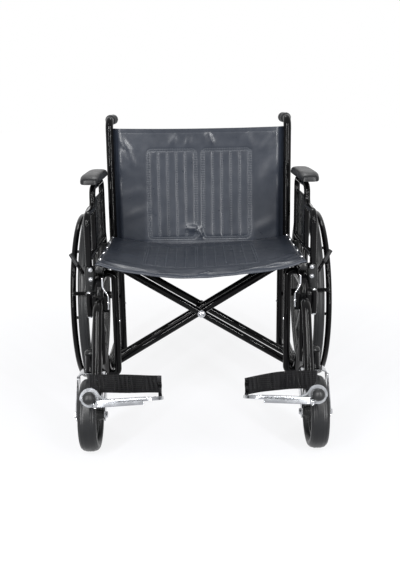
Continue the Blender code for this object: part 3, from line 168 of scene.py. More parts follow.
@dataclass(frozen=True)
class Finish:
    """A real finish and the numbers that make its material."""

    name: str
    slot: str
    colour: str
    shade: str                      # the other colour of its slow blotches
    roughness: float
    spread: float                   # how far the roughness goes up and down
    grain: float                    # size of the fine relief
    depth: float                    # height of the fine relief
    surface: Surface = Surface.SMOOTH
    blotch: float = 0.08            # size of the blotches
    metallic: float = 0.0
    ior: float = 1.5
    specular: float = 0.5

    def relief(self, tree: bpy.types.NodeTree, place: Socket) -> Socket:
        """Draw the height pattern of the surface.

        Args:
            tree: Node tree of the material.
            place: Socket with the coordinates, in metres.

        Returns:
            Socket with the height.
        """
        if self.surface is Surface.EMBOSSED:
            cells = add_node(tree, "TexVoronoi", {"Scale": 1 / self.grain}, {"Vector": place}, feature="SMOOTH_F1")
            soft = add_node(tree, "TexNoise", {"Scale": 0.12 / self.grain, "Detail": 2.0}, {"Vector": place})
            return combine(tree, "ADD", cells.outputs["Distance"], soft.outputs["Fac"])
        if self.surface is Surface.WOVEN:
            warp, weft = (add_node(tree, "TexWave", {"Scale": scale / self.grain, "Distortion": 0.4},
                                   {"Vector": place}, bands_direction=along).outputs["Fac"]
                          for scale, along in ((0.314, "X"), (0.157, "Y")))
            return combine(tree, "MAXIMUM", warp, weft)
        return add_node(tree, "TexNoise", {"Scale": 1 / self.grain, "Detail": 3.0}, {"Vector": place}).outputs["Fac"]

    @functools.cache
    def material(self) -> bpy.types.Material:
        """Build the node material, once for each finish."""
        made = bpy.data.materials.new(self.name)
        made.use_nodes = True
        tree = made.node_tree
        shader = tree.nodes["Principled BSDF"]
        place = (add_node(tree, "UVMap", uv_map="strap").outputs["UV"] if self.surface is Surface.WOVEN
                 else add_node(tree, "TexCoord").outputs["Object"])
        slow = add_node(tree, "TexNoise", {"Scale": 1 / self.blotch, "Detail": 4.0, "Roughness": 0.6},
                        {"Vector": place})
        tint = add_node(tree, "Mix", {6: srgb(self.colour), 7: srgb(self.shade)}, {0: slow.outputs["Fac"]},
                        data_type="RGBA")
        handled = add_node(tree, "TexNoise", {"Scale": 4 / self.blotch, "Detail": 6.0}, {"Vector": place})
        polish = add_node(tree, "MapRange",
                          {"From Min": 0.3, "From Max": 0.7, "To Min": max(0.02, self.roughness - self.spread),
                           "To Max": self.roughness + self.spread}, {"Value": handled.outputs["Fac"]})
        bump = add_node(tree, "Bump", {"Strength": 1.0, "Distance": self.depth},
                        {"Height": self.relief(tree, place)})
        for name, socket in (("Base Color", tint.outputs[2]), ("Roughness", polish.outputs["Result"]),
                             ("Normal", bump.outputs["Normal"])):
            tree.links.new(socket, shader.inputs[name])
        for name, value in (("Metallic", self.metallic), ("IOR", self.ior), ("Specular IOR Level", self.specular)):
            shader.inputs[name].default_value = value
        return made


# Sprayed and stoved gloss enamel: near black, with a clear sharp highlight over a slight orange peel.
ENAMEL = Finish("stoved_black_enamel", "black_enamel", "#040405", "#070708", 0.055, 0.015, 0.004, 0.000003,
                specular=0.12)
# Bright nickel and chrome plate on pressed steel: a clean mirror, dulled here and there by handling.
CHROME = Finish("bright_chrome_plate", "chrome_plate", "#cccdd0", "#aeb0b4", 0.1, 0.05, 0.003, 0.000012,
                metallic=1.0)
# Polished cast aluminium: greyer than the chrome, with a soft highlight and the skin of the mould.
ALUMINIUM = Finish("polished_cast_aluminium", "cast_aluminium", "#a6a8ac", "#84868a", 0.24, 0.07, 0.0016, 0.00006,
                   metallic=1.0)
# Moulded grip rubber: dull, slightly grey where the light rakes it.
GRIP_RUBBER = Finish("moulded_grip_rubber", "grip_rubber", "#131415", "#1c1d1f", 0.42, 0.08, 0.0011, 0.00006,
                     specular=0.35)
# Solid tyre rubber: grey-black, between matt and satin, with a faint dusty bloom.
TYRE_RUBBER = Finish("solid_tyre_rubber", "tyre_rubber", "#101112", "#191a1c", 0.36, 0.07, 0.0016, 0.00008,
                     specular=0.3)
# Injection-moulded glass-filled nylon: satin black with a fine stipple.
NYLON = Finish("moulded_black_nylon", "black_plastic", "#0b0c0d", "#131415", 0.3, 0.07, 0.0009, 0.00005, specular=0.3)
# Embossed upholstery vinyl: blue-grey black with a soft sheen; its 1 mm grain is drawn at 2.4 mm to show.
VINYL = Finish("embossed_grey_vinyl", "grey_vinyl", "#1d2129", "#262b34", 0.33, 0.06, 0.0024, 0.0001,
               surface=Surface.EMBOSSED, blotch=0.11, specular=0.4)
# Self-skinned foam of the arm pads: near black, smooth, with a broad and weak sheen.
FOAM_SKIN = Finish("skinned_grey_foam", "grey_vinyl", "#0c0d0f", "#131416", 0.38, 0.06, 0.0015, 0.00006, specular=0.25)
# Bonded sewing thread, a little paler than the vinyl that it lies on.
THREAD = Finish("bonded_grey_thread", "grey_vinyl", "#272b32", "#343941", 0.4, 0.08, 0.0008, 0.00003)
# Woven nylon webbing: black, dull; its 1.2 mm ribs are drawn at 2.5 mm to show.
WEBBING = Finish("woven_nylon_webbing", "black_webbing", "#111113", "#1b1b1e", 0.66, 0.1, 0.0025, 0.00016,
                 surface=Surface.WOVEN, specular=0.25)


def rounded(corners: Sequence[Vector], bend: float, steps: int = BEND_STEPS) -> list[Vector]:
    """Turn each inner corner of a path into an arc.

    Args:
        corners: Points of the path.
        bend: Radius of each bend.
        steps: Facets round a bend.

    Returns:
        The path with its bends.
    """
    points = [Vector(corners[0])]
    for before, corner, after in zip(corners, corners[1:], corners[2:]):
        back, ahead = (before - corner).normalized(), (after - corner).normalized()
        half = back.angle(ahead) / 2
        if half > STRAIGHT:
            points.append(Vector(corner))
            continue
        reach = min(bend / math.tan(half), (before - corner).length * 0.49, (after - corner).length * 0.49)
        radius = reach * math.tan(half)
        centre = corner + (back + ahead).normalized() * (radius / math.sin(half))
        start = (corner + back * reach - centre).normalized()
        end = (corner + ahead * reach - centre).normalized()
        points += [centre + start.slerp(end, step / steps) * radius for step in range(steps + 1)]
    return points + [Vector(corners[-1])]


def facing(place: Vector, direction: Sequence[float]) -> Matrix:
    """A frame at a place whose Z axis points along a direction."""
    return Matrix.Translation(place) @ Vector(direction).to_track_quat("Z", "Y").to_matrix().to_4x4()


def spun(frame: Matrix, count: int) -> list[Matrix]:
    """Copies of a frame at even turns about its own Z axis."""
    return [frame @ Matrix.Rotation(index * math.tau / count, 4, "Z") for index in range(count)]


def oval(middle: Pair, reach: Pair, power: float, count: int = 28) -> list[Pair]:
    """Draw a closed rounded profile for a ring.

    Args:
        middle: Radius and height of its middle.
        reach: Half its size in radius and in height.
        power: 2 for an ellipse, and more for squarer corners.
        count: Points round it.

    Returns:
        Points of (radius, height).
    """
    points = []
    for index in range(count):
        turn = index * math.tau / count
        across, along = math.cos(turn), math.sin(turn)
        points.append((middle[0] + reach[0] * math.copysign(abs(across) ** (2 / power), across),
                       middle[1] + reach[1] * math.copysign(abs(along) ** (2 / power), along)))
    return points


def tread(radius: float, size: Pair, shape: tuple[float, int], grooves: Sequence[float], groove: Triple) -> list[Pair]:
    """Draw the section of a tyre with shallow grooves.

    Args:
        radius: Radius of the tyre.
        size: Its depth and width.
        shape: Power and points of its oval.
        grooves: Places of the grooves, as shares of half the width.
        groove: Depth and width of a groove, and how deep under the tread one may be.

    Returns:
        Points of (radius, height).
    """
    half, points = size[1] / 2, []
    for reach, height in oval((radius - size[0] / 2, 0.0), (size[0] / 2, half), *shape):
        if reach > radius - groove[2]:
            reach -= sum(groove[0] * math.exp(-((abs(height) - half * share) / groove[1]) ** 2) for share in grooves)
        points.append((reach, height))
    return points


def mirrored(half: list[Pair]) -> list[Pair]:
    """Close a profile with its own image below height 0."""
    return half + [(radius, -height) for radius, height in reversed(half)]


def sleeve(bore: float, wall: float, length: float, ease: Pair) -> list[Pair]:
    """Draw a hollow sleeve whose outer edges are eased by a width and a length."""
    return [(bore, 0.0), (wall - ease[0], 0.0), (wall, ease[1]), (wall, length - ease[1]), (wall - ease[0], length),
            (bore, length)]


class Form:
    """A mesh shaped with bmesh operators and dressed as one piece.

    Each method that adds a shape returns the form, ready for the next one.
    """

    def __init__(self, prefix: str = "") -> None:
        """Start with nothing, and with what goes before the names of piece, body and nodes."""
        self.prefix = prefix
        self.bm = bmesh.new()

    def extrude(self, faces: Sequence[BMFace]) -> tuple[list[BMVert], BMFace]:
        """Extrude faces in place, for their new vertices and the first new face."""
        grown = bmesh.ops.extrude_face_region(self.bm, geom=faces)["geom"]
        verts = [item for item in grown if isinstance(item, BMVert)]
        return verts, next(item for item in grown if isinstance(item, BMFace))

    def slab(self, across: int, along: int) -> set[BMVert]:
        """Make a two-sided unit grid with closed sides, for the vertices of its second face."""
        bmesh.ops.create_grid(self.bm, x_segments=across, y_segments=along, size=0.5)
        return set(self.extrude(self.bm.faces[:])[0])

    def bevel(self, edges: Sequence[BMEdge] | set[BMEdge], offset: float, segments: int) -> None:
        """Round some edges."""
        bmesh.ops.bevel(self.bm, geom=list(edges), offset=offset, segments=segments, profile=0.5, affect="EDGES",
                        material=-1, clamp_overlap=True)

    def crests(self) -> list[BMEdge]:
        """Edges whose faces meet at a clear angle."""
        return [edge for edge in self.bm.edges if edge.calc_face_angle(0) > CREST]

    def sweep(self, frames: Sequence[Matrix], sides: int = ROUND) -> "Form":
        """Extrude a unit circle, or a unit square where sides is 4, from frame to frame.

        Args:
            frames: Frames along the sweep, each with its own scale.
            sides: Facets of the section.
        """
        if sides == 4:
            made = bmesh.ops.create_grid(self.bm, x_segments=1, y_segments=1, size=0.5, matrix=frames[0])
        else:
            made = bmesh.ops.create_circle(self.bm, cap_ends=True, segments=sides, radius=1.0, matrix=frames[0])
        cap = made["verts"][0].link_faces[0]
        for before, after in zip(frames, frames[1:]):
            moved, cap = self.extrude([cap])
            bmesh.ops.transform(self.bm, matrix=after @ before.inverted(), verts=moved)
        return self

    def tube(self, corners: Sequence[Vector], radius: float, bend: float = 0.02, ease: float = 0.0012,
             sides: int = ROUND) -> "Form":
        """Sweep a round bar along a path whose ends are eased.

        Args:
            corners: Points of the path before its bends.
            radius: Radius of the bar.
            bend: Radius of the bends.
            ease: Size of the rounded edge at both ends.
            sides: Facets round the bar.
        """
        points = rounded([Vector(corner) for corner in corners], bend)
        first, last = (points[1] - points[0]).normalized(), (points[-1] - points[-2]).normalized()
        path = [points[0], points[0] + first * ease * 0.3, points[0] + first * ease, *points[1:-1],
                points[-1] - last * ease, points[-1] - last * ease * 0.3, points[-1]]
        sizes = [radius - ease, radius - ease * 0.3, *[radius] * (len(path) - 4), radius - ease * 0.3, radius - ease]
        runs = [(after - before).normalized() for before, after in zip(path, path[1:])]
        ways = [runs[0], *[(a + b).normalized() for a, b in zip(runs, runs[1:])], runs[-1]]
        turn = ways[0].to_track_quat("Z", "Y").to_matrix().to_4x4()
        frames = []
        for index, (place, way, size) in enumerate(zip(path, ways, sizes)):
            if index:
                turn = ways[index - 1].rotation_difference(way).to_matrix().to_4x4() @ turn
            frames.append(Matrix.Translation(place) @ turn @ Matrix.Diagonal((size, size, 1.0, 1.0)))
        return self.sweep(frames, sides)

    def band(self, path: Sequence[Vector], across: Vector, sizes: Sequence[Pair]) -> "Form":
        """Sweep a flat strip along a path.

        Args:
            path: Middle line of the strip.
            across: Direction of its width.
            sizes: Its thickness and width at each point of the path.
        """
        frames = []
        for index, (point, (thick, width)) in enumerate(zip(path, sizes)):
            way = (path[min(index + 1, len(path) - 1)] - path[max(index - 1, 0)]).normalized()
            side = across.cross(way).normalized()
            turn = Matrix((side, way.cross(side), way)).transposed().to_4x4()
            frames.append(Matrix.Translation(point) @ turn @ Matrix.Diagonal((thick, width, 1, 1)))
        return self.sweep(frames, 4)

    def lathe(self, profile: Sequence[Pair], frame: Matrix, steps: int = 48) -> "Form":
        """Spin a profile about a frame's Z axis.

        Args:
            profile: Points of (radius, height), closed round unless it starts and ends on the axis.
            frame: Frame of the axis.
            steps: Facets round it.
        """
        verts = [self.bm.verts.new(frame @ Vector((radius, 0.0, height))) for radius, height in profile]
        ends = verts[1:] if profile[0][0] == profile[-1][0] == 0.0 else verts[1:] + verts[:1]
        edges = [self.bm.edges.new(pair) for pair in zip(verts, ends)]
        bmesh.ops.spin(self.bm, geom=verts + edges, cent=frame.translation, axis=frame.to_3x3().col[2],
                       angle=math.tau, steps=steps, use_merge=True)
        return self

    def plate(self, outline: Sequence[Vector], thickness: Vector, ease: float = 0.0006) -> "Form":
        """Thicken a flat outline by a vector and round its edges."""
        face = self.bm.faces.new([self.bm.verts.new(point) for point in outline])
        near = list(face.verts)
        moved = self.extrude([face])[0]
        bmesh.ops.translate(self.bm, vec=thickness, verts=moved)
        self.bevel({edge for vert in near + moved for edge in vert.link_edges}, ease, 2)
        return self

    def block(self, low: Vector, high: Vector, ease: float) -> "Form":
        """Make a box with rounded edges between two opposite corners."""
        size = [abs(b - a) for a, b in zip(low, high)]
        made = bmesh.ops.create_cube(self.bm, size=1.0, matrix=Matrix.Translation((low + high) / 2)
                                     @ Matrix.Diagonal((*size, 1.0)))
        self.bevel({edge for vert in made["verts"] for edge in vert.link_edges}, ease, 3)
        return self

    def dome(self, place: Vector, direction: Sequence[float], radius: float, height: float, collar: float) -> "Form":
        """Set a round head on a surface.

        Args:
            place: Middle of its foot.
            direction: Way it stands.
            radius: Radius of its foot.
            height: Height of its crown.
            collar: Height of the straight part below the crown.
        """
        arc = [(radius * math.cos(step * math.pi / 12), collar + height * math.sin(step * math.pi / 12))
               for step in range(6)]
        return self.lathe([(0.0, 0.0), (radius, 0.0), *arc, (0.0, collar + height)], facing(place, direction), 20)

    def nut(self, place: Vector, direction: Sequence[float], radius: float, height: float) -> "Form":
        """Set a hexagon nut or head with a chamfered crown on a surface."""
        profile = [(0.0, 0.0), (radius, 0.0), (radius, height * 0.8), (radius * 0.84, height), (0.0, height)]
        return self.lathe(profile, facing(place, direction), 6)

    def washer(self, place: Vector, direction: Sequence[float], radius: float, height: float,
               steps: int = 24) -> "Form":
        """Set a flat disc on a surface."""
        return self.lathe([(0.0, 0.0), (radius, 0.0), (radius, height), (0.0, height)], facing(place, direction),
                          steps)

    def dress(self, name: str, body: str, finish: Finish, *nodes: str, sharp: float = 38.0) -> bpy.types.Object:
        """Turn the form into a finished piece of the chair.

        Args:
            name: Name of the piece.
            body: Body of the frame that it moves with.
            finish: Its finish.
            nodes: Nodes of the frame that it stands for.
            sharp: Angle in degrees from which an edge stays sharp.

        Returns:
            The piece.
        """
        name, body = self.prefix + name, self.prefix + body
        bmesh.ops.remove_doubles(self.bm, verts=self.bm.verts, dist=MERGE)
        bmesh.ops.dissolve_degenerate(self.bm, edges=self.bm.edges, dist=MERGE)
        bmesh.ops.recalc_face_normals(self.bm, faces=self.bm.faces)
        mesh = bpy.data.meshes.new(name)
        self.bm.to_mesh(mesh)
        self.bm.free()
        mesh.materials.append(finish.material())
        mesh.shade_smooth()
        mesh.set_sharp_from_angle(angle=math.radians(sharp))
        piece = bpy.data.objects.new(name, mesh)
        bpy.context.scene.collection.objects.link(piece)
        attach(piece, body)
        if nodes:
            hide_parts(*[self.prefix + node for node in nodes])
        LOG.info("%s: %d faces on %s", name, len(mesh.polygons), body)
        return piece


@dataclass
class Lean:
    """The back canes' line, which other pieces follow."""

    foot_y: float = 0.235
    foot_z: float = RAIL_Z
    slope: float = math.tan(math.radians(1.86))

    def y(self, z: float) -> float:
        """Where the canes' middle line is at a height."""
        return self.foot_y + (z - self.foot_z) * self.slope


LEAN = Lean()


@dataclass
class SidePart:
    """A sub-assembly that both sides of the chair have."""

    side: Side

    def form(self) -> Form:
        """A form for a piece of this side."""
        return Form(f"{self.side.hand}_")

    def line(self, x: float, *places: Pair) -> list[Vector]:
        """Points given in Y and Z, at one distance from the middle."""
        return [self.side.at(x, y, z) for y, z in places]


@dataclass
class SideFrame(SidePart):
    """Welded side frame: main loop, sloping stay, inner uprights and caster barrel."""

    front: float = -0.202       # the front upright, in Y
    foot: float = 0.2155        # its lower end, in Z
    stay: float = 0.285         # where the sloping stay starts, in Z
    stay_foot: float = -0.068   # and where it meets the lower rail, in Y
    strut_x: float = 0.259
    strut_tube: float = 0.0105
    strut_ys: Pair = (-0.087, 0.113)
    saddle_ys: Pair = (-0.13, 0.16)
    saddle_top: float = 0.4819
    barrel: float = 0.018
    barrel_zs: Pair = (0.212, 0.265)
    bolt_z: float = 0.31

    def build(self) -> None:
        """Make the frame's tubes, saddles, barrel and lugs."""
        at, line, form = self.side.at, self.line, self.form()
        rear, foot = (LEAN.y(z - TUBE) - TUBE - GAP for z in (UPPER_Z, LOWER_Z))
        form.tube(line(FRAME_X, (rear, UPPER_Z), (self.front, UPPER_Z), (self.front, self.foot)), TUBE, 0.045)
        form.tube(line(FRAME_X, (self.front, self.stay), (self.stay_foot, LOWER_Z), (foot, LOWER_Z)), TUBE - 0.00005,
                  0.03)
        for y, low_y in zip(self.strut_ys, (self.stay_foot - 0.004, self.strut_ys[1])):
            form.tube([at(FRAME_X, low_y, LOWER_Z), at(self.strut_x, y, LOWER_Z), at(self.strut_x, y, UPPER_Z),
                       at(FRAME_X, y, UPPER_Z)], self.strut_tube, 0.022)
        for y in self.saddle_ys:
            form.block(at(FRAME_X - 0.01, y - 0.018, UPPER_Z), at(FRAME_X + 0.01, y + 0.018, self.saddle_top), 0.003)
        self.barrel_form(form)
        form.block(at(FRAME_X - 0.006, self.front, self.foot + 0.002),
                   at(STEM[0] - 0.0035, STEM[1], self.barrel_zs[1] - 0.003), 0.0015)
        x, y = HINGE
        lug = ((FRAME_X - 0.008, self.front + 0.004), (FRAME_X + 0.006, self.front + 0.006), (x + 0.005, y + 0.006),
               (x + 0.0085, y), (x + 0.005, y - 0.0078), (x - 0.007, y - 0.0078))
        for z in (HINGE_ZS[0] - 0.005, HINGE_ZS[1]):
            form.plate([at(*corner, z) for corner in lug], Vector((0, 0, 0.005)))
        form.dress("frame_tubing", "frame", ENAMEL, "side_frame")
        bright = self.form().dome(at(x, y, HINGE_ZS[1] + 0.0048), UP, 0.0062, 0.0035, 0.0012)
        bright.nut(at(x, y, HINGE_ZS[0] - 0.0048), DOWN, 0.0062, 0.0045)
        for y in self.strut_ys:
            bright.dome(at(self.strut_x - self.strut_tube + 0.0012, y, self.bolt_z), self.side.across(-1), 0.0042,
                        0.003, 0.0008)
        bright.dress("frame_bolts", "frame", CHROME)

    def barrel_form(self, form: Form) -> None:
        """Add the caster barrel, with its rolled rims."""
        r, height, bore = self.barrel, self.barrel_zs[1] - self.barrel_zs[0], 0.0073
        rim, neck = r + 0.0008, r - 0.0006
        form.lathe([(bore, 0.0), (r - 0.001, 0.0), (rim, 0.0015), (rim, 0.005), (neck, 0.007), (neck, height - 0.007),
                    (rim, height - 0.005), (rim, height - 0.0015), (r - 0.001, height), (bore, height)],
                   Matrix.Translation(self.side.at(*STEM, self.barrel_zs[0])))


@dataclass
class BackPost(SidePart):
    """Rear upright, push handle and grip."""

    foot_z: float = 0.121
    top_z: float = 0.8945
    reach: float = 0.14
    grip: float = 0.0165
    grip_length: float = 0.095
    boss_x: float = 0.272
    ribs: int = 14

    def build(self) -> None:
        """Make the upright, its axle boss and the ribbed grip."""
        at, foot, top = self.side.at, (LEAN.y(self.foot_z), self.foot_z), LEAN.y(self.top_z)
        end = top + self.reach
        form = self.form().tube(self.line(FRAME_X, foot, (top, self.top_z), (end, self.top_z)), TUBE, 0.033)
        form.lathe(sleeve(0.0068, 0.0125, 0.0605, (0.001, 0.001)), facing(at(self.boss_x, *AXLE), self.side.across(1)))
        form.dress("back_post", "frame", ENAMEL, "back_cane")
        self.form().dome(at(FRAME_X, *foot), DOWN, TUBE * 0.93, 0.004, 0.001).dress("post_plug", "frame", NYLON)
        self.build_grip(end)

    def build_grip(self, end: float) -> None:
        """Make the grip with its collar and finger ribs, at the handle's end along Y."""
        length, inner, r, steps = self.grip_length, TUBE + 0.0004, self.grip, self.ribs * 4
        profile = [(inner, 0.0), (r + 0.0002, 0.0), (r + 0.0008, 0.0012), (r + 0.0008, 0.0045), (r - 0.0005, 0.007)]
        for step in range(1, steps + 1):
            along = 0.008 + (length - 0.014) * step / steps
            profile.append((r - 0.0007 + 0.0007 * math.cos(step * math.tau / 4), along))
        profile += [(r - 0.0012, length + 0.0005), (r * 0.78, length + 0.0032), (r * 0.4, length + 0.004),
                    (0.0, length + 0.004), (0.0, length + 0.0006), (inner, length + 0.0004)]
        frame = facing(self.side.at(FRAME_X, end - length, self.top_z), BACK)
        self.form().lathe(profile, frame).dress("ribbed_grip", "frame", GRIP_RUBBER, "hand_grip")


@dataclass
class RearWheel(SidePart):
    """Large wheel: solid tyre, moulded rim and spokes, push rim and axle."""

    x: float = 0.3605
    tyre: Pair = (0.028, 0.032)
    rim_inner: float = 0.26
    rim_width: float = 0.024
    hub: float = 0.027
    hub_xs: Pair = (0.335, 0.39)
    spokes: int = 8
    push_x: float = 0.394
    push_radius: float = 0.271
    push_tube: float = 0.009
    bolt_xs: Pair = (0.2637, 0.3945)
    washer_x: float = 0.3903
    nut_xs: Pair = (0.2717, 0.3915)

    def build(self) -> None:
        """Make every piece of the wheel."""
        out = self.side.across(1)
        frame, stand = facing(self.side.at(self.x, *AXLE), out), self.push_x - self.x
        section = tread(WHEEL_RADIUS, self.tyre, (2.6, 56), (0.42,), (0.0009, 0.0011, 0.008))
        self.form().lathe(section, frame, 128).dress("wheel_tyre", "wheel", TYRE_RUBBER, "rear_tyre")
        self.centre(frame).dress("spoked_wheel", "wheel", NYLON, "rear_wheel")
        ring = self.form().lathe(oval((self.push_radius, stand), (self.push_tube,) * 2, 2.0), frame, 128)
        for turn in spun(frame, self.spokes):
            foot = turn @ Vector((self.push_radius, 0, self.rim_width / 2 + GAP))
            ring.tube([foot, turn @ Vector((self.push_radius, 0, stand))], 0.0045, sides=16)
            ring.lathe([(0.0, 0.0), (0.0068, 0.0), (0.0068, 0.0012), (0.0055, 0.0022), (0.0, 0.0022)],
                       facing(foot, out), 20)
        ring.dress("push_rim", "wheel", ENAMEL, "handrim")
        self.axle(out)

    def centre(self, frame: Matrix) -> Form:
        """Make the moulded rim, spokes and hub about the wheel's axis."""
        outer, inner, half, hub = WHEEL_RADIUS - self.tyre[0] - GAP, self.rim_inner, self.rim_width / 2, self.hub
        rim = [(outer, half), (outer - 0.002, half + 0.0006), (outer - 0.006, half), (outer - 0.009, half * 0.72),
               (inner + 0.003, half * 0.6), (inner, half * 0.4)]
        form = self.form().lathe(mirrored(rim), frame, 128)
        low, tip = (x - self.x for x in self.hub_xs)
        form.lathe([(0.0068, low), (0.024, low), (hub, low + 0.003), (hub, -0.01), (hub - 0.003, 0.0), (hub, 0.008),
                    (hub * 0.9, tip - 0.008), (hub * 0.8, tip - 0.001), (hub * 0.76, tip), (0.0068, tip)], frame)
        to_rim = Matrix(((0, 0, 1, 0), (0, 1, 0, 0), (1, 0, 0, 0), (0, 0, 0, 1)))
        spoke, foot = [], hub * 0.6
        for share in (0.0, 0.06, 0.14, 0.3, 0.5, 0.7, 0.86, 0.94, 1.0):
            flare = 0.01 * math.exp(-share / 0.07) + 0.009 * math.exp((share - 1.0) / 0.06)
            size = Matrix.Diagonal((0.0062 + flare * 0.12, 0.0088 - 0.0022 * share + flare * 0.5, 1, 1))
            spoke.append(Matrix.Translation((foot + (inner + 0.003 - foot) * share, 0, 0)) @ to_rim @ size)
        for turn in spun(frame, self.spokes):
            form.sweep([turn @ place for place in spoke], 16)
        return form

    def axle(self, out: Vector) -> None:
        """Make the axle bolt with its washer, and the nut inside the frame."""
        at = self.side.at
        form = self.form().tube([at(x, *AXLE) for x in self.bolt_xs], 0.0064, ease=0.0008)
        form.washer(at(self.washer_x, *AXLE), out, 0.0135, 0.0014, 32)
        form.nut(at(self.nut_xs[1], *AXLE), out, 0.0118, 0.0056)
        form.nut(at(self.nut_xs[0], *AXLE), -out, 0.0122, 0.0085)
        form.dress("wheel_axle", "frame", CHROME, "rear_axle")


@dataclass
class Caster(SidePart):
    """Swivelling front wheel: fork, bolt, centre and broad solid tyre."""

    trail: float = 0.058
    radius: float = 0.1016
    tyre: Pair = (0.027, 0.0506)
    inside: float = 0.0375
    wall: float = 0.0035
    crown: float = 0.207
    shoulder: float = 0.022
    ribs: int = 10

    def build(self) -> None:
        """Make every piece of the caster."""
        axle = self.side.at(STEM[0], STEM[1] - self.trail, self.radius)
        frame, reach = facing(axle, self.side.across(1)), Vector((0.043, 0, 0))
        self.fork().dress("fork", "swivel", CHROME, "caster_fork")
        bolt = self.form().tube([axle - reach, axle + reach], 0.0049, ease=0.0006, sides=16)
        for way in (-1, 1):
            foot = axle + Vector((way * (self.inside + self.wall + GAP), 0, 0))
            bolt.washer(foot, (way, 0, 0), 0.0098, 0.0012)
            bolt.nut(foot + Vector((way * 0.0011, 0, 0)), (way, 0, 0), 0.0086, 0.0048)
        bolt.dress("fork_bolt", "swivel", CHROME, "caster_axle")
        self.centre(frame).dress("caster_centre", "roller", NYLON, "caster_wheel")
        section = tread(self.radius, self.tyre, (2.35, 72), (0.16, 0.52, 0.86), (0.0011, 0.001, self.tyre[0] * 0.7))
        self.form().lathe(section, frame, 96).dress("caster_tread", "roller", TYRE_RUBBER, "caster_tyre")
        cap = self.form().lathe([(0.0, 0.0), (0.0178, 0.0), (0.0182, 0.002), (0.0165, 0.0055), (0.012, 0.0088),
                                 (0.0062, 0.0103), (0.0, 0.0106)], Matrix.Translation(self.side.at(*STEM, 0.2653)), 40)
        cap.dress("stem_cap", "frame", NYLON, "caster_cap")

    def fork(self) -> Form:
        """Sweep the pressed strap of the fork from one axle end over the crown to the other."""
        top, middle = self.crown + 0.0022, self.inside + self.wall / 2
        half = [Vector((middle, 0, self.radius - 0.017)), Vector((middle, 0, top)), Vector((0, 0, top))]
        path = rounded(half, self.shoulder)
        path = path[:1] + [path[0].lerp(path[1], step / 8) for step in range(1, 8)] + path[1:]
        path += [Vector((-point.x, 0, point.z)) for point in reversed(path[:-1])]
        line, sizes, slope_top = [], [], self.crown - 0.014
        for point in path:
            drop = min(1.0, max(0.0, (slope_top - point.z) / (slope_top - self.radius)))
            ease = drop * drop * (3 - 2 * drop)
            foot = max(0.0, (self.radius - point.z) / 0.017)
            sizes.append((self.wall, (0.046 - 0.012 * ease) * math.sqrt(max(0.05, 1.0 - 0.8 * foot ** 2))))
            line.append(Vector((self.side.value * STEM[0] + point.x, STEM[1] - self.trail * ease, point.z)))
        form = self.form().band(line, Vector(BACK), sizes)
        form.bevel(form.crests(), 0.0009, 2)
        form.lathe([(0.0, 0.0), (0.0148, 0.0), (0.0148, 0.004), (0.0125, 0.0047), (0.0069, 0.0047), (0.0069, 0.045),
                    (0.0, 0.046)], Matrix.Translation(self.side.at(*STEM, self.crown)), 32)
        return form

    def centre(self, frame: Matrix) -> Form:
        """Make the moulded centre about the caster's axis: rim, web with ribs and long hub."""
        outer = self.radius - self.tyre[0] - GAP
        half = [(outer, 0.013), (outer - 0.005, 0.0135), (outer - 0.009, 0.012), (outer - 0.012, 0.006),
                (0.02, 0.005), (0.0165, 0.014), (0.0135, 0.0355), (0.0053, 0.036)]
        form = self.form().lathe(mirrored(half), frame, 64)
        ends = [Matrix.Translation((reach, 0, 0)) @ Matrix.Rotation(math.pi / 2, 4, "Y")
                @ Matrix.Diagonal((0.022, 0.003, 1, 1)) for reach in (0.012, outer - 0.006)]
        for turn in spun(frame, self.ribs):
            form.sweep([turn @ end for end in ends], 4)
        return form


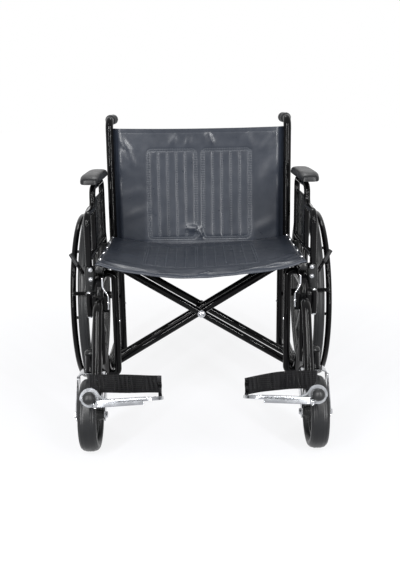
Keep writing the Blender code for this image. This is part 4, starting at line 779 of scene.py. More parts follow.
@dataclass
class DeskArm(SidePart):
    """Lift-off armrest with its stepped tube, skirt guard, pad and sockets."""

    x: float = 0.3215
    tube: float = 0.0095
    bar: float = 0.008
    front: float = -0.167
    rear: float = 0.2
    step: Pair = (-0.027, 0.645)   # corner between the low front and the high rear, in Y and Z
    top: float = 0.706
    bar_z: float = 0.5165
    foot: float = 0.441
    pad_ys: Pair = (-0.07, 0.185)
    pad_width: float = 0.064
    window: float = 0.026          # open height over the guard
    socket_x: float = 0.32
    socket_zs: Pair = (0.428, 0.498)
    nut_x: float = 0.3165
    nut_zs: Pair = (0.491, 0.464)

    def build(self) -> None:
        """Make every piece of the armrest."""
        step_y, step_z = self.step
        form = self.form().tube(self.line(self.x, (self.front, self.foot), (self.front, step_z), self.step,
                                          (step_y, self.top), (self.rear, self.top), (self.rear, self.foot)),
                                self.tube, 0.028)
        form.tube(self.line(self.x, (self.front, self.bar_z), (self.rear, self.bar_z)), self.bar)
        form.tube(self.line(self.x, (step_y, self.bar_z), self.step), self.bar)
        form.dress("arm_tubing", "arm", ENAMEL, "arm_frame")
        self.guard()
        self.pad()
        self.socket(self.front, "front")
        self.socket(self.rear, "rear")

    def guard(self) -> None:
        """Make the moulded skirt guard with its pressed border."""
        low, high = self.bar_z + self.bar + GAP, self.top - self.tube - self.window
        front, rear, level = self.step[0] + self.tube + GAP, self.rear - self.tube - GAP, (low + high) / 2
        upper = rounded(self.line(self.x, (front, level), (front, high), (rear, high), (rear, level)), 0.024, 8)
        outline = [*self.line(self.x, (front, low)), *upper, *self.line(self.x, (rear, low))]
        shift = self.side.across(-0.0015)
        form = self.form().plate([point + shift for point in outline], shift * -2, 0.0005)
        middle = self.side.at(self.x, (front + rear) / 2, level)
        border = [middle + (point - middle) * 0.93 for point in outline]
        for way in (-1, 1):
            proud = self.side.across(way * 0.0014)
            form.tube([point + proud for point in [*border, border[0]]], 0.0012, 0.002, 0.0003, 8)
        form.dress("skirt_guard", "arm", NYLON, "side_panel")

    def pad(self) -> None:
        """Mould the pad: crowned, with drawn-in sides, rounded ends and a nose that turns down."""
        seat, middle = self.top + self.tube + GAP, sum(self.pad_ys) / 2
        length, form = self.pad_ys[1] - self.pad_ys[0], self.form()
        upper = form.slab(28, 72)
        for vert in form.bm.verts:
            across, along = vert.co.x * 2, vert.co.y * 2
            ends = (1.0 - abs(along) ** 5) ** 0.36 if abs(along) < 1 else 0.0
            edge = (1.0 - abs(across) ** 3.2) ** 0.42 if abs(across) < 1 else 0.0
            width = self.pad_width / 2 * (0.8 + 0.2 * (1.0 - abs(along) ** 6)) * (0.985 + 0.015 * along)
            base = min(1.0, max(0.0, (abs(across) - 0.3) / 0.25))
            nose = max(0.0, -along - 0.55) / 0.45
            if vert in upper:
                height = 0.016 + 0.0152 * edge * (0.3 + 0.7 * ends) - 0.006 * nose ** 2
            else:
                base = max(base ** 2 * (3 - 2 * base), min(1.0, nose * 1.7))
                height = 0.0085 * base + 0.003 * (1 - edge) - 0.0045 * nose ** 2
            vert.co = Vector((self.side.value * (self.x + 0.003) + across * width,
                              middle + along * length / 2 * (1.0 - 0.05 * abs(across) ** 4), seat + height))
        form.dress("pad", "arm", FOAM_SKIN, "arm_pad", sharp=75.0)

    def socket(self, y: float, name: str) -> None:
        """Mould one socket with its flanged mouth, and its two dome nuts.

        Args:
            y: Where its post stands.
            name: Start of its names.
        """
        at, form, half, bore = self.side.at, self.form(), 0.017, self.tube + 0.0006
        low, high = self.socket_zs
        bmesh.ops.create_cone(form.bm, cap_ends=True, segments=40, radius1=1.0, radius2=1.0, depth=1.0)
        for vert in form.bm.verts:
            turn = math.atan2(vert.co.y, vert.co.x)
            reach = min(1.0 / max(abs(math.cos(turn)), abs(math.sin(turn))), 1.18)
            vert.co = Vector((self.side.value * self.socket_x + 0.0145 * reach * math.cos(turn),
                              y + half * reach * math.sin(turn), low + 0.002 if vert.co.z < 0 else high - 0.002))
        for z, grow in ((high - 0.009, 1.05), (low + 0.003, 1.02)):
            form.lathe([(bore, 0.0), (0.0142 * grow, 0.0), (0.0148 * grow, 0.001), (0.0148 * grow, 0.006),
                        (0.0138 * grow, 0.0085), (bore, 0.0085)], Matrix.Translation(at(self.x, y, z)), 40)
        form.dress(f"{name}_holder", "frame", NYLON, f"{name}_arm_socket")
        nuts, way = self.form(), -1 if y < 0 else 1
        for z in self.nut_zs:
            foot = at(self.nut_x, y + way * half * 0.97, z)
            nuts.washer(foot, (0, way, 0), 0.0058, 0.001)
            nuts.dome(foot + Vector((0, way * 0.0008, 0)), (0, way, 0), 0.0044, 0.003, 0.0012)
        nuts.dress(f"{name}_nuts", "frame", CHROME)


@dataclass
class Footrest(SidePart):
    """Swing-away hanger, sliding tube, footplate and heel loop."""

    x: float = 0.2875
    top_z: float = 0.405
    elbow_y: float = -0.283
    slope: float = math.radians(65.0)
    end_z: float = 0.222
    foot_z: float = 0.1845
    carrier: Pair = (0.262, -0.2245)  # inner edge in X and front face in Y of the plate that hangs it
    latch_x: float = 0.264
    rod: float = 0.01
    tilt: float = math.radians(22.0)  # of the rod, its front end up
    roll: float = math.radians(3.0)   # of the footplate about the rod
    rod_length: float = 0.1475
    ball: float = 0.0163
    slide: float = 0.13
    plate_inner: float = 0.106
    plate_ends: Pair = (0.016, 0.1445)  # rear and front edge, along the rod
    plate_foot: float = -0.025          # lowest point below the rod
    sleeve: float = 0.0215
    sleeve_ends: Pair = (0.0235, 0.13)
    strap_y: float = -0.0142

    def slope_point(self, z: float) -> Vector:
        """A point on the middle line of the sloping tube."""
        return self.side.at(self.x, self.elbow_y - (self.top_z - z) / math.tan(self.slope), z)

    def rod_frame(self, roll: float = 0.0) -> Matrix:
        """The frame of the footplate's rod, which runs forward along -Y, turned about the rod."""
        turn = Matrix.Rotation(-self.tilt, 4, "X") @ Matrix.Rotation(self.side.value * roll, 4, "Y")
        return Matrix.Translation(self.slope_point(self.foot_z)) @ turn

    def build(self) -> None:
        """Make every piece of the footrest."""
        self.hanger()
        self.latch()
        self.extension()
        self.footplate()
        self.heel_loop()

    def hanger(self) -> None:
        """Make the drop tube, its carrier plate and hinge sleeve."""
        at, line, (low, high) = self.side.at, self.line, HINGE_ZS
        end, (plate_x, face) = self.slope_point(self.end_z), self.carrier
        form = self.form().tube([*line(self.x, (face + 0.0025, self.top_z), (self.elbow_y, self.top_z)), end], TUBE,
                                0.032)
        down = (end - self.slope_point(self.top_z)).normalized()
        form.lathe([(0.0112, 0.0), (TUBE + 0.0014, 0.0), (TUBE + 0.002, 0.001), (TUBE + 0.002, 0.017),
                    (TUBE + 0.0012, 0.018), (0.0112, 0.018)], facing(end - down * 0.0185, down), 40)
        form.lathe(sleeve(0.0048, 0.0085, high - low - 2 * GAP, (0.0005, 0.0006)),
                   Matrix.Translation(at(*HINGE, low + GAP)), 32)
        form.block(at(plate_x, face, low + 0.006), at(HINGE[0] - 0.0065, face + 0.005, high - 0.006), 0.0015)
        near, far = face + 0.001, self.elbow_y + 0.018
        for way in (-1, 1):
            form.plate(line(self.x + way * 0.0085 - 0.0015, (near, 0.421), (near, 0.377), (far, 0.4), (far, 0.41)),
                       self.side.across(0.003))
        form.dress("hanger_tubing", "hanger_body", ENAMEL, "hanger")
        bright = self.form().nut(end - down * 0.009 + Vector(AHEAD) * (TUBE + 0.0012), AHEAD, 0.0062, 0.005)
        bright.dress("clamp_bolt", "hanger_body", CHROME)

    def latch(self) -> None:
        """Make the release lever with its thumb pad."""
        at, x, front = self.side.at, self.latch_x, self.carrier[1] - GAP
        line = rounded([Vector((0, 0, 0.386)), Vector((0, 0, 0.425)), Vector((0.014, 0, 0.451)),
                        Vector((0.014, 0, 0.478))], 0.014, 6)
        form = self.form().tube([at(x + point.x, front - 0.0026, point.z) for point in line], 0.0026, ease=0.001,
                                sides=16)
        form.dome(at(x, front - 0.0048, self.top_z), AHEAD, 0.0046, 0.0024, 0.0006)
        form.dress("release_lever", "latch", CHROME, "hanger_latch")

    def extension(self) -> None:
        """Make the sliding tube, the rod it turns into and the round rubber end."""
        frame, ball, collar = self.rod_frame(), self.ball, self.rod + 0.0004
        foot, end = self.slope_point(self.foot_z), self.slope_point(self.end_z)
        top = end + (end - foot).normalized() * self.slide
        form = self.form().tube([top, foot, frame @ Vector((0, -self.sleeve_ends[0] + GAP, 0))], 0.0108, 0.021)
        form.tube([frame @ Vector((0, y, 0)) for y in (-0.02, -self.rod_length + ball / 2)], self.rod)
        form.dress("sliding_tube", "footrest", CHROME, "footrest_extension")
        profile = [(ball * math.sin(step * math.pi / 20), ball * math.cos(step * math.pi / 20)) for step in range(16)]
        profile += [(self.rod + 0.0022, -ball * 0.8), (collar, -ball * 0.82), (collar, -ball * 0.5 - 0.0004),
                    (0.0, -ball * 0.5 - 0.0004)]
        place = facing(frame @ Vector((0, -self.rod_length, 0)), frame.to_3x3() @ Vector(AHEAD))
        self.form().lathe(profile, place, 40).dress("rod_bumper", "footrest", GRIP_RUBBER, "footrest_cap")

    def footplate(self) -> None:
        """Make the cast footplate: tread, ribbed front edge, arched sleeve and the bolt below it."""
        at, inner, reach = self.side.at, self.x - self.plate_inner, self.ball + 0.004
        (rear, front), (start, stop) = self.plate_ends, self.sleeve_ends
        corners = [at(-reach, -rear, 0), at(-inner, -rear, 0), at(-inner, -front, 0), at(-reach, -front, 0)]
        outline = [at(0.004, -start, 0), at(-0.0128, -start, 0), *rounded(corners, 0.01, 4)[:6],
                   *rounded(corners, 0.045, 10)[-12:], at(-reach, -stop, 0), at(0.004, -stop, 0)]
        form = self.form().plate([point + Vector((0, 0, -0.0165)) for point in outline], Vector((0, 0, 0.009)), 0.0014)
        form.block(at(0.045 - inner, -front, self.plate_foot), at(-reach, 0.006 - front, -0.0085), 0.0015)
        for y, z in ((0.0045, -0.0083), (0.0165, -0.0089)):
            form.tube([at(0.04 - inner, y - front, z), at(-reach - 0.004, y - front, z)], 0.003, sides=16)
        for step in range(9):
            x = 0.02 - inner + step * 0.0165
            form.block(at(x, 0.026 - front, -0.0078), at(x + 0.0035, -rear - 0.014, -0.0067), 0.0005)
        length, bore, r = stop - start, self.rod + 0.0004, self.sleeve
        form.lathe([(bore, 0.0), (r, 0.0), (r, length - 0.022), (r - 0.0018, length - 0.019),
                    (r - 0.0018, length - 0.012), (r, length - 0.009), (r + 0.002, length - 0.0062),
                    (r + 0.0022, length - 0.001), (r + 0.0014, length), (bore, length)],
                   facing(Vector((0, -start, 0)), AHEAD), 56)
        wrap, y = r + 0.0016, 0.0045 - stop
        hook = [at(wrap * math.sin(math.radians(turn)), y, wrap * math.cos(math.radians(turn)))
                for turn in range(100, -60, -8)]
        hook = rounded([*hook, at(-0.0265, y, 0.0015), at(-0.044, y, -0.0065)], 0.008, 4)
        form.band(hook, Vector(BACK), [(0.0042, 0.011)] * len(hook))
        cut = bmesh.ops.bisect_plane(form.bm, geom=form.bm.verts[:] + form.bm.edges[:] + form.bm.faces[:],
                                     plane_co=(0, 0, self.plate_foot), plane_no=UP, clear_inner=True)["geom_cut"]
        bmesh.ops.holes_fill(form.bm, edges=[item for item in cut if isinstance(item, BMEdge)], sides=0)
        frame = self.rod_frame(self.roll)
        bmesh.ops.transform(form.bm, matrix=frame, verts=form.bm.verts)
        form.dress("cast_footplate", "foot", ALUMINIUM, "footplate")
        down, foot = frame.to_3x3() @ Vector(DOWN), frame @ at(-0.0125, 0.014 - front, -0.016)
        lug = self.form().washer(foot, down, 0.0088, 0.0015, 28)
        lug.nut(foot + down * 0.0012, down, 0.0078, 0.0062)
        lug.tube([foot, foot + down * 0.0108], 0.0036, ease=0.0006, sides=16)
        lug.dress("plate_bolt", "foot", CHROME)

    def heel_loop(self) -> None:
        """Sweep the webbing strap, with the half twist of the left one and its gathered inner end."""
        value, inner, outer = self.side.value, self.x - self.plate_inner - 0.006, 0.0162
        fall, drop = (0.015, 1.0) if self.side is Side.RIGHT else (0.025, 2.1)
        frames = []
        for share in (step / 60 for step in range(61)):
            bow = (0.004 * math.sin(math.pi * share) + 0.0008 * math.sin(share * 21.0)) * (1.0 - share) ** 0.7
            height = 0.0505 - 0.004 * share - 0.001 * math.sin(share * 9.0)
            lean = math.radians(5.0) * math.sin(share * 7.0)
            if self.side is Side.LEFT:
                lean += math.radians(11.0) * math.exp(-((share - 0.42) / 0.14) ** 2)
            turn = Matrix.Rotation(value * math.pi / 2, 4, "Y") @ Matrix.Rotation(lean, 4, "Z")
            place = Matrix.Translation((value * (outer - (outer + inner) * share), self.strap_y - bow,
                                        0.0396 - fall * share ** drop))
            frames.append(place @ turn @ Matrix.Diagonal((height, 0.0022, 1, 1)))
        form = self.form().sweep(frames, 4)
        leg_x = value * -(inner - 0.003)
        form.sweep([Matrix.Translation((leg_x + value * sway, self.strap_y - lean, z))
                    @ Matrix.Diagonal((width, 0.0028, 1, 1)) for z, width, sway, lean in (
                        (0.0625 - fall, 0.012, 0.0, 0.0), (0.031, 0.0115, 0.0004, 0.001),
                        (0.02, 0.0105, -0.0004, 0.001), (0.01, 0.0085, 0.0, 0.0), (0.0, 0.009, 0.0006, 0.0),
                        (-0.0135, 0.011, 0.0, 0.0))], 4)
        form.bevel(form.crests(), 0.0005, 1)
        weave = form.bm.loops.layers.uv.new("strap")
        for loop in (loop for face in form.bm.faces for loop in face.loops):
            loop[weave].uv = (loop.vert.co.x, loop.vert.co.z)
        bmesh.ops.transform(form.bm, matrix=self.rod_frame(self.roll), verts=form.bm.verts)
        form.dress("heel_strap", "foot", WEBBING, "heel_loop")


@dataclass
class WheelLock(SidePart):
    """Wheel lock on the upper rail: bracket, shoe and hand lever."""

    y: float = -0.102
    pivot: float = 0.428
    inner: float = 0.3055
    wall: float = 0.0035
    shoe_z: float = 0.396
    shoe_stand: float = 0.015
    shoe_xs: Pair = (0.351, 0.3865)
    elbow: Triple = (0.349, -0.098, 0.459)
    tip: Triple = (0.386, -0.09, 0.52)

    def build(self) -> None:
        """Make the bracket, the shoe and the lever."""
        at, y, thick, out = self.side.at, self.y, self.side.across(self.wall), self.side.across(1)
        form = self.form().plate(self.line(self.inner, *((y + along, z) for along, z in (
            (-0.022, 0.466), (-0.019, 0.468), (0.019, 0.468), (0.022, 0.466), (0.017, 0.42), (0.013, 0.416),
            (-0.013, 0.416), (-0.017, 0.42)))), thick)
        for along in (-0.012, 0.012):
            form.dome(at(self.inner + 0.0036, y + along, 0.458), out, 0.0052, 0.0026, 0.0008)
        form.tube([at(self.inner + reach, y, self.pivot) for reach in (0.001, 0.014)], 0.0039)
        form.dress("lock_plate", "frame", ENAMEL, "lock_bracket")
        self.shoe(thick)
        self.lever(thick, out)

    def shoe(self, thick: Vector) -> None:
        """Make the shoe's arm, as thick as the plates, and its ribbed bar."""
        at, inner, low = self.side.at, self.inner + self.wall + GAP, self.shoe_z - 0.008
        y = WHEEL_Y - math.sqrt((WHEEL_RADIUS + self.shoe_stand) ** 2 - (self.shoe_z - WHEEL_RADIUS) ** 2)
        high = self.pivot + 0.01
        arm = ((self.y - 0.01, high), (self.y + 0.01, high), (y + 0.008, low), (y - 0.008, low))
        form = self.form().plate(self.line(inner, *arm), thick)
        form.tube([at(inner + 0.001, y, self.shoe_z), at(self.shoe_xs[1], y, self.shoe_z)], 0.005)
        ribs = [(0.006 if step % 2 else 0.0055, 0.001 + step * 0.0014) for step in range(24)]
        form.lathe([(0.0048, 0.0), (0.0058, 0.0005), *ribs, (0.0056, 0.0345), (0.0048, 0.035)],
                   facing(at(self.shoe_xs[0], y, self.shoe_z), self.side.across(1)), 24)
        form.dress("brake_shoe", "shoe", ENAMEL, "lock_shoe")

    def lever(self, thick: Vector, out: Vector) -> None:
        """Make the hand lever with its plate, rubber tip and pivot nut.

        Args:
            thick: Thickness of the plates.
            out: Direction away from the chair.
        """
        at, y, pivot = self.side.at, self.y, self.pivot
        inner, elbow, tip = self.inner + 2 * (self.wall + GAP), at(*self.elbow), at(*self.tip)
        form = self.form().plate(self.line(inner, (y - 0.011, pivot - 0.01), (y + 0.011, pivot - 0.01),
                                           (y + 0.008, pivot + 0.022), (y - 0.014, pivot + 0.022)), thick)
        form.tube([at(inner + 0.0015, y - 0.004, pivot + 0.014), elbow, tip], 0.0052, 0.014)
        form.dress("lock_handle", "lever", ENAMEL, "lock_lever")
        way = (tip - elbow).normalized()
        grip = self.form().tube([tip - way * 0.04, tip + way * 0.0005], 0.0063, ease=0.0022)
        grip.dress("lock_grip", "lever", GRIP_RUBBER)
        nut = self.form().nut(at(inner + self.wall, y, pivot), out, 0.0072, 0.0046)
        nut.dress("lock_nut", "frame", CHROME)


@dataclass
class CrossBrace:
    """The two crossing arms under the seat, each with its foot sleeve and seat rail."""

    y: float = 0.01
    tube: float = 0.011
    offsets: Pair = (0.0265, 0.05)

    def build(self) -> None:
        """Make both arms, the bolt and the rail plugs."""
        self.arm(Side.RIGHT, "inner", self.offsets[0])
        self.arm(Side.LEFT, "outer", self.offsets[1])
        centre = LOWER_Z + (RAIL_Z - LOWER_Z) * FRAME_X / (FRAME_X + RAIL_X)
        reach = self.offsets[1] + self.tube + GAP
        form = Form().tube([Vector((0, self.y - reach, centre)), Vector((0, self.y + reach, centre))], 0.0049)
        for way in (-1, 1):
            form.washer(Vector((0, self.y + way * reach, centre)), (0, way, 0), 0.0115, 0.0012, 32)
        form.dome(Vector((0, self.y - reach - 0.001, centre)), AHEAD, 0.0092, 0.0042, 0.001)
        form.nut(Vector((0, self.y + reach + 0.001, centre)), BACK, 0.0094, 0.005)
        form.dress("brace_pivot", "outer_arm", CHROME, "brace_bolt")

    def arm(self, side: Side, name: str, offset: float) -> None:
        """Make one arm from its foot to the seat rail of the other side.

        Args:
            side: Side of its foot.
            name: Name of the arm in the frame.
            offset: Distance of its two tubes from the middle.
        """
        at, half = side.at, offset + 0.0125
        form = Form().lathe(sleeve(0.0131, 0.0159, 2 * half, (0.0006, 0.0008)),
                            facing(at(FRAME_X, self.y - half, LOWER_Z), BACK), 40)
        form.tube([at(-RAIL_X, y, RAIL_Z) for y in RAIL_YS], RAIL)
        way = (at(-RAIL_X, 0, RAIL_Z) - at(FRAME_X, 0, LOWER_Z)).normalized()
        for y in (self.y - offset, self.y + offset):
            form.tube([at(FRAME_X, y, LOWER_Z) + way * 0.014, at(-RAIL_X, y, RAIL_Z)], self.tube)
        form.dress(f"{name}_brace", f"{name}_arm", ENAMEL, f"{name}_brace_arm")
        plug = Form().lathe([(0.0, 0.0), (0.0111, 0.0), (0.0113, 0.0012), (0.0104, 0.0038), (0.0076, 0.0053),
                             (0.0, 0.0057)], facing(at(-RAIL_X, RAIL_YS[0] - GAP, RAIL_Z), AHEAD), 32)
        other = Side(-side.value).hand
        plug.dress(f"{other}_rail_end", f"{name}_arm", NYLON, f"{other}_rail_plug")


@dataclass(frozen=True)
class Crease:
    """A pull or fold in cloth, between two places in the cloth's own plane."""

    x: float
    w: float
    end_x: float
    end_w: float
    width: float
    height: float

    def lift(self, x: float, w: float) -> float:
        """Height of the crease at a place across and along the cloth."""
        run_x, run_w = self.end_x - self.x, self.end_w - self.w
        share = ((x - self.x) * run_x + (w - self.w) * run_w) / (run_x ** 2 + run_w ** 2)
        held = min(1.0, max(0.0, share))
        gap = math.hypot(x - self.x - held * run_x, w - self.w - held * run_w)
        if gap > self.width * 3:
            return 0.0
        return self.height * math.exp(-(gap / self.width) ** 2) * (1.0 - 0.75 * (2 * held - 1) ** 4)


SEAT_CREASES = [Crease(*row) for row in (
    (-0.285, -0.15, -0.15, -0.178, 0.0108, 0.0049), (-0.275, -0.12, -0.12, -0.165, 0.0151, 0.0037),
    (0.285, -0.16, 0.11, -0.184, 0.0097, 0.0056), (0.28, -0.12, 0.2, -0.17, 0.0086, 0.0051),
    (0.27, -0.08, 0.19, -0.13, 0.013, 0.0032), (-0.27, 0.02, -0.2, -0.02, 0.0151, 0.0022),
    (0.275, 0.06, 0.195, 0.03, 0.0151, 0.0024), (-0.275, 0.15, -0.19, 0.185, 0.0108, 0.0032),
    (0.272, 0.16, 0.185, 0.19, 0.0108, 0.003), (-0.01, -0.186, 0.03, -0.172, 0.0065, 0.0037),
    (-0.12, -0.186, -0.06, -0.178, 0.0076, 0.0027))]
BACK_CREASES = [Crease(*row) for row in (
    (-0.262, 0.858, -0.215, 0.745, 0.0116, 0.0046), (-0.266, 0.838, -0.225, 0.8, 0.0088, 0.0042),
    (-0.262, 0.8, -0.24, 0.7, 0.0175, 0.0031), (0.026, 0.858, 0.048, 0.818, 0.008, 0.0043),
    (-0.075, 0.846, -0.092, 0.818, 0.0103, 0.0027), (-0.03, 0.842, -0.04, 0.812, 0.0103, 0.0026),
    (0.15, 0.85, 0.18, 0.8, 0.0204, 0.0027), (0.262, 0.856, 0.205, 0.79, 0.0161, 0.0033),
    (0.266, 0.78, 0.215, 0.69, 0.0219, 0.003), (-0.266, 0.64, -0.185, 0.668, 0.0175, 0.0026),
    (-0.255, 0.57, -0.16, 0.61, 0.0146, 0.0027), (0.255, 0.56, 0.19, 0.53, 0.0175, 0.0026),
    (-0.05, 0.54, -0.008, 0.53, 0.0088, 0.0062), (-0.026, 0.546, 0.004, 0.52, 0.0065, 0.0054),
    (0.004, 0.524, 0.008, 0.506, 0.0065, 0.0043))]


@dataclass(frozen=True)
class Quilting:
    """A pair of sewn panels: each has a double outline and rows of stitching."""

    low: float
    high: float
    inner: float = 0.009
    outer: float = 0.172
    corner: float = 0.016
    border: float = 0.0065
    rows: int = 4
    stitch: float = 0.009    # width of a stitch of the lengthwise rows
    groove: float = 0.0008   # depth of the stitching
    spread: float = 0.0026   # half its width
    puff: float = 0.0004     # height of the filling between the rows

    def row_places(self) -> list[float]:
        """Distances of the inner rows from the chair's middle."""
        first, last = self.inner + self.border, self.outer - self.border
        return [first + (last - first) * (index + 1) / (self.rows + 1) for index in range(self.rows)]

    def outline_gap(self, x: float, w: float) -> float:
        """Signed distance from the outer outline, negative inside it."""
        half = ((self.outer - self.inner) / 2 - self.corner, (self.high - self.low) / 2 - self.corner)
        across = abs(abs(x) - (self.inner + self.outer) / 2) - half[0]
        along = abs(w - (self.low + self.high) / 2) - half[1]
        return math.hypot(max(across, 0.0), max(along, 0.0)) + min(max(across, along), 0.0) - self.corner

    def relief(self, x: float, w: float) -> float:
        """Height of the sewn pattern at a place, negative in the stitching."""
        edge = self.outline_gap(x, w)
        gaps = [abs(edge), abs(edge + self.border)]
        if edge < -self.border:
            gaps += [abs(abs(x) - row) for row in self.row_places()]
        near = min(gaps)
        puff = self.puff * (1.0 - math.exp(-(near / 0.007) ** 2)) * (1.0 if edge < 0 else math.exp(-edge / 0.02))
        return puff - self.groove * math.exp(-(near / self.spread) ** 2)

    def seams_across(self) -> list[float]:
        """Places across the cloth where it needs close columns."""
        half = [self.inner, self.inner + self.border, *self.row_places(), self.outer - self.border, self.outer]
        return [-x for x in half] + half

    def seams_along(self) -> list[float]:
        """Places along the cloth where it needs close rows."""
        return [self.low, self.low + self.border, self.high - self.border, self.high]

    def paths(self) -> list[list[Pair]]:
        """Lines of stitching, each a list of places."""
        lines = []
        for sign in (-1, 1):
            for inset in (0.0, self.border):
                near, far, seam = self.inner + inset, self.outer - inset, self.low + 0.1
                corners = [Vector((sign * x, w, 0)) for x, w in (
                    (near, seam), (near, self.high - inset), (far, self.high - inset), (far, self.low + inset),
                    (near, self.low + inset), (near, seam))]
                lines.append([(p.x, p.y) for p in rounded(corners, self.corner - inset, 6)])
            for row in self.row_places():
                lines.append([(sign * row, self.low + self.border), (sign * row, self.high - self.border)])
        return lines


def stations(low: float, high: float, seams: Sequence[float], step: float) -> list[float]:
    """Places along a cloth: even steps, with close ones at every seam.

    Args:
        low: First place.
        high: Last place.
        seams: Places of the seams.
        step: Even spacing.

    Returns:
        The places in order.
    """
    count = round((high - low) / step)
    places = [low + (high - low) * index / count for index in range(count + 1)]
    for seam in seams:
        places = [place for place in places if abs(place - seam) > 0.0042 or place in (low, high)]
    close = {round(seam + shift, 5) for seam in seams for shift in (-0.003, -0.0014, 0.0, 0.0014, 0.003)}
    places += [place for place in close if low < place < high]
    places.sort()
    kept = [places[0]]
    for place in places[1:]:
        if place - kept[-1] > 0.0006:
            kept.append(place)
    kept[-1] = high
    return kept


@dataclass
class Sling:
    """A quilted vinyl sling: its shape, creases, stitching and screws."""

    name: str
    node: str
    body: str
    low: float
    high: float
    quilting: Quilting
    creases: Sequence[Crease]
    surface: Callable[[float, float], Vector]
    outward: Vector
    anchor_x: float
    keep: float
    seed: float
    screws: Sequence[Vector]
    edge: float = 0.3
    thickness: float = 0.0078
    swell: float = 0.0065
    ripple: float = 0.0008
    hem_depth: float = 0.0004

    def drape(self, x: float, w: float) -> float:
        """How far the whole cloth stands off its plain shape at a place."""
        calm = max(0.0, 1.0 - (abs(x) / self.edge) ** 10)
        broad = noise.noise(Vector((x * 5.0, w * 6.0, self.seed))) * self.swell
        fine = noise.noise(Vector((x * 23.0, w * 19.0, self.seed + 5.0))) * self.ripple
        return (broad + fine + sum(crease.lift(x, w) for crease in self.creases)) * calm

    def outside(self, x: float, w: float) -> Vector:
        """A point of the face that the sitter touches."""
        relief = self.quilting.relief(x, w) + self.hem(w)
        return self.surface(x, w) + self.outward * (self.drape(x, w) + relief)

    def inside(self, x: float, w: float) -> Vector:
        """A point of the hidden face."""
        thin = 0.45 if abs(x) == self.edge or w in (self.low, self.high) else 1.0
        relief = self.quilting.relief(x, w) * 0.7 + self.hem(w)
        return self.surface(x, w) + self.outward * (self.drape(x, w) - self.thickness * thin - relief)

    def hem(self, w: float) -> float:
        """Depth of the stitching along the two hems."""
        return -self.hem_depth * sum(math.exp(-((w - place) / 0.0018) ** 2) for place in self.hems())

    def hems(self) -> Pair:
        """Places of the two hem lines."""
        return self.low + HEM, self.high - HEM

    def build(self) -> None:
        """Make the sling, its stitches and its screws."""
        columns = stations(-self.edge, self.edge, self.quilting.seams_across(), 0.0075)
        rows = stations(self.low, self.high, [*self.quilting.seams_along(), *self.hems()], 0.0065)
        form = Form()
        inner = form.slab(len(columns) - 1, len(rows) - 1)
        for vert in form.bm.verts:
            x = columns[round((vert.co.x + 0.5) * (len(columns) - 1))]
            w = rows[round((vert.co.y + 0.5) * (len(rows) - 1))]
            vert.co = self.inside(x, w) if vert in inner else self.outside(x, w)
        cloth = form.dress(self.name, self.body, VINYL, self.node, sharp=70.0)
        self.flat(columns, rows)
        self.fold(cloth)
        self.fold(self.stitches())
        heads, way = Form(), Vector(UP) if self.outward.z else Vector(BACK)
        for place in self.screws:
            heads.lathe([(0.0, 0.0), (0.0068, 0.0), (0.0064, 0.0012), (0.0042, 0.0018), (0.0, 0.0018)],
                        facing(place, way), 24)
            heads.dome(place + way * 0.0014, way, 0.0038, 0.002, 0.0002)
        self.fold(heads.dress(f"{self.name}_screws", self.body, CHROME))

    def flat(self, columns: Sequence[float], rows: Sequence[float]) -> Pair:
        """Measure the sling's flat width and length along its middle lines."""
        across = [self.surface(x, (self.low + self.high) / 2) for x in columns]
        along = [self.surface(0.0, w) for w in rows]
        return tuple(round(sum((b - a).length for a, b in zip(line, line[1:])), 3) for line in (across, along))

    def stitches(self) -> bpy.types.Object:
        """Lay a cross stitch at every pitch along each sewn line, all in one piece."""
        form = Form()
        for start, end in (pair for line in self.quilting.paths() for pair in zip(line, line[1:])):
            run_x, run_w = end[0] - start[0], end[1] - start[1]
            long = self.quilting.stitch if abs(run_w) > abs(run_x) else STITCH_SIZE[0]
            count = max(1, round(math.hypot(run_x, run_w) / STITCH_PITCH))
            for share in ((index + 0.5) / count for index in range(count)):
                x, w = start[0] + run_x * share, start[1] + run_w * share
                here = self.outside(x, w)
                way = (self.outside(x + 0.001, w) - here).normalized()
                turn = Matrix((way, self.outward.cross(way), self.outward)).transposed().to_4x4()
                bmesh.ops.create_cube(form.bm, size=1.0, matrix=Matrix.Translation(here + self.outward * 0.0002)
                                      @ turn @ Matrix.Diagonal((long, *STITCH_SIZE[1:], 1.0)))
        form.bevel(form.bm.edges[:], 0.00028, 1)
        return form.dress(f"{self.name}_stitching", self.body, THREAD)

    def fold(self, piece: bpy.types.Object) -> None:
        """Give a piece its own copy of its mesh."""
        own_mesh(piece)


def seat_surface(x: float, w: float) -> Vector:
    """The seat's upper face before its creases: it sags between the rails, most at its front lip."""
    share = (w - SEAT_YS[0]) / (SEAT_YS[1] - SEAT_YS[0])
    inside = max(0.0, 1.0 - (x / SEAT_SPAN) ** 2)
    sag = 0.034 - 0.01 * share + 0.009 * max(0.0, 1.0 - share / 0.12)
    thin = 0.004 if abs(x) > 0.2995 or share <= 0 or share >= 1 else 0.0
    return Vector((x, w, RAIL_Z + RAIL + GAP + PLY - sag * inside ** 0.8 - thin))


def back_surface(x: float, w: float) -> Vector:
    """The back's front face before its creases: it bellies back between the canes and passes behind them."""
    share = (w - BACK_ZS[0]) / (BACK_ZS[1] - BACK_ZS[0])
    z = w - 0.004 * (1 - (x / 0.3) ** 2) * share
    step = min(1.0, max(0.0, (abs(x) - 0.2645) / 0.0137))
    rise = max(0.0, math.sin(math.pi * min(1.0, max(0.0, share)))) ** 0.7
    belly = 0.01 * max(0.0, 1.0 - (x / BACK_SPAN) ** 2) * rise
    return Vector((x, LEAN.y(z) + BACK_STEP * step + belly, z))


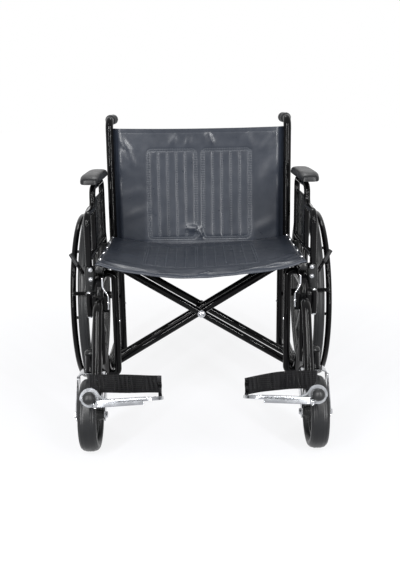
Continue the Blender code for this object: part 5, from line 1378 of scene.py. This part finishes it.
def slings() -> list[Sling]:
    """Describe the seat and back slings."""
    seat_screws = [Vector((side * RAIL_X, y, 0.5137)) for side in (-1, 1)
                   for y in (-0.146, -0.056, 0.033, 0.123, 0.205)]
    back_screws = [Vector((side * FRAME_X, LEAN.y(z) + BACK_STEP + 0.0074, z)) for side in (-1, 1)
                   for z in (0.535, 0.612, 0.689, 0.766, 0.843)]
    return [Sling("quilted_seat", "seat_upholstery", "seat", *SEAT_YS, outward=Vector(UP), surface=seat_surface,
                  quilting=Quilting(-0.12, 0.165, stitch=0.0026), creases=SEAT_CREASES, screws=seat_screws,
                  anchor_x=RAIL_X, keep=0.7335, seed=3.0),
            Sling("quilted_back", "back_upholstery", "right_frame", *BACK_ZS, outward=-Vector(BACK),
                  surface=back_surface, quilting=Quilting(0.5, 0.803), creases=BACK_CREASES, screws=back_screws,
                  anchor_x=-FRAME_X, keep=0.7323, seed=11.0)]


@dataclass
class Studio:
    """White studio: floor, world, soft lamps and the camera."""

    camera_place: Triple = (-0.0132, -2.2794, 0.9646)
    pitch: float = math.radians(13.995)
    yaw: float = math.radians(0.2516)
    roll: float = math.radians(-0.8215)
    lens: float = 47.57
    sensor: float = 36.0
    world_light: float = 0.33
    floor_size: float = 40.0
    floor_paint: str = "#5e5f64"
    floor_glow: Pair = (0.84, 1.02)   # near the chair, and far from it
    floor_fade: Pair = (0.7, 2.6)     # where the glow starts and ends to rise

    def build(self) -> None:
        """Set up everything that isn't the chair."""
        bpy.context.scene.view_settings.view_transform = "Standard"
        self.world()
        self.floor()
        self.lamps()
        self.camera()

    def seen(self, tree: bpy.types.NodeTree) -> Socket:
        """Find the rays that look at the studio, straight or in a reflection: 1 for them."""
        path = add_node(tree, "LightPath").outputs
        both = combine(tree, "MAXIMUM", path["Is Camera Ray"], path["Is Glossy Ray"])
        return combine(tree, "MAXIMUM", both, path["Is Transmission Ray"])

    def world(self) -> None:
        """White to look at, and softer as a light."""
        world = bpy.data.worlds.new("studio")
        bpy.context.scene.world = world
        world.use_nodes = True
        tree = world.node_tree
        tree.nodes.clear()
        light, white = (add_node(tree, "Background", {"Color": (1, 1, 1, 1), "Strength": strength}).outputs[0]
                        for strength in (self.world_light, 1.0))
        mix = add_node(tree, "MixShader", {}, {0: self.seen(tree), 1: light, 2: white})
        add_node(tree, "OutputWorld", {}, {"Surface": mix.outputs[0]})

    def floor(self) -> None:
        """A wide matt floor that keeps the chair's shadow under a white glow."""
        bpy.ops.mesh.primitive_plane_add(size=self.floor_size)
        floor = bpy.context.active_object
        floor.name = "studio_floor"
        paint = bpy.data.materials.new("white_studio_floor")
        paint.use_nodes = True
        tree = paint.node_tree
        tree.nodes.clear()
        matt = add_node(tree, "BsdfDiffuse", {"Color": srgb(self.floor_paint)})
        glow = add_node(tree, "Emission", {"Color": (1, 1, 1, 1)})
        place = add_node(tree, "TexCoord").outputs["Object"]
        away = add_node(tree, "VectorMath", {}, {0: place}, operation="LENGTH")
        fade = add_node(tree, "MapRange", {"From Min": self.floor_fade[0], "From Max": self.floor_fade[1],
                                           "To Min": self.floor_glow[0], "To Max": self.floor_glow[1]},
                        {"Value": away.outputs["Value"]})
        level = combine(tree, "MULTIPLY", self.seen(tree), fade.outputs["Result"])
        tree.links.new(level, glow.inputs["Strength"])
        both = add_node(tree, "AddShader", {}, {0: matt.outputs[0], 1: glow.outputs[0]})
        add_node(tree, "OutputMaterial", {}, {"Surface": both.outputs[0]})
        floor.data.materials.append(paint)

    def lamps(self) -> None:
        """A weak soft lamp above and behind, a stronger one in front, and a tall thin strip at each front corner."""
        for name, place, aim, size, power in (
                ("overhead_softbox", (0.0, 1.7, 3.0), (0.0, 0.0, 0.3), (1.2, 0.6), 18.0),
                ("front_softbox", (-0.5, -2.9, 2.2), (0.0, 0.1, 0.7), (1.2, 0.7), 36.0),
                ("right_strip", (-1.5, -2.5, 1.7), (0.0, 0.0, 0.6), (0.09, 3.2), 115.0),
                ("left_strip", (1.5, -2.5, 1.7), (0.0, 0.0, 0.6), (0.09, 3.2), 115.0)):
            lamp = bpy.data.lights.new(name, "AREA")
            lamp.shape, lamp.size, lamp.size_y, lamp.energy = "RECTANGLE", *size, power
            stand = bpy.data.objects.new(name, lamp)
            bpy.context.scene.collection.objects.link(stand)
            stand.matrix_world = facing(Vector(place), Vector(place) - Vector(aim))

    def camera(self) -> None:
        """The camera at the photograph's place and angle."""
        data = bpy.data.cameras.new("view")
        data.lens, data.sensor_width, data.sensor_fit = self.lens, self.sensor, "AUTO"
        camera = bpy.data.objects.new("view", data)
        bpy.context.scene.collection.objects.link(camera)
        heading, tilt, roll = (Matrix.Rotation(angle, 4, axis) for angle, axis in (
            (-self.yaw, "Z"), (math.pi / 2 - self.pitch, "X"), (self.roll, "Z")))
        camera.matrix_world = Matrix.Translation(self.camera_place) @ heading @ tilt @ roll
        bpy.context.scene.camera = camera


def main() -> None:
    """Load the frame, build the studio and the chair."""
    logging.basicConfig(level=logging.INFO, format="%(name)s %(message)s")
    for item in list(bpy.data.objects):
        bpy.data.objects.remove(item)
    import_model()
    Studio().build()
    for side in Side:
        for part in (SideFrame, BackPost, RearWheel, Caster, DeskArm, Footrest, WheelLock):
            part(side).build()
    for part in (CrossBrace(), *slings()):
        part.build()


if __name__ == "__main__":
    main()
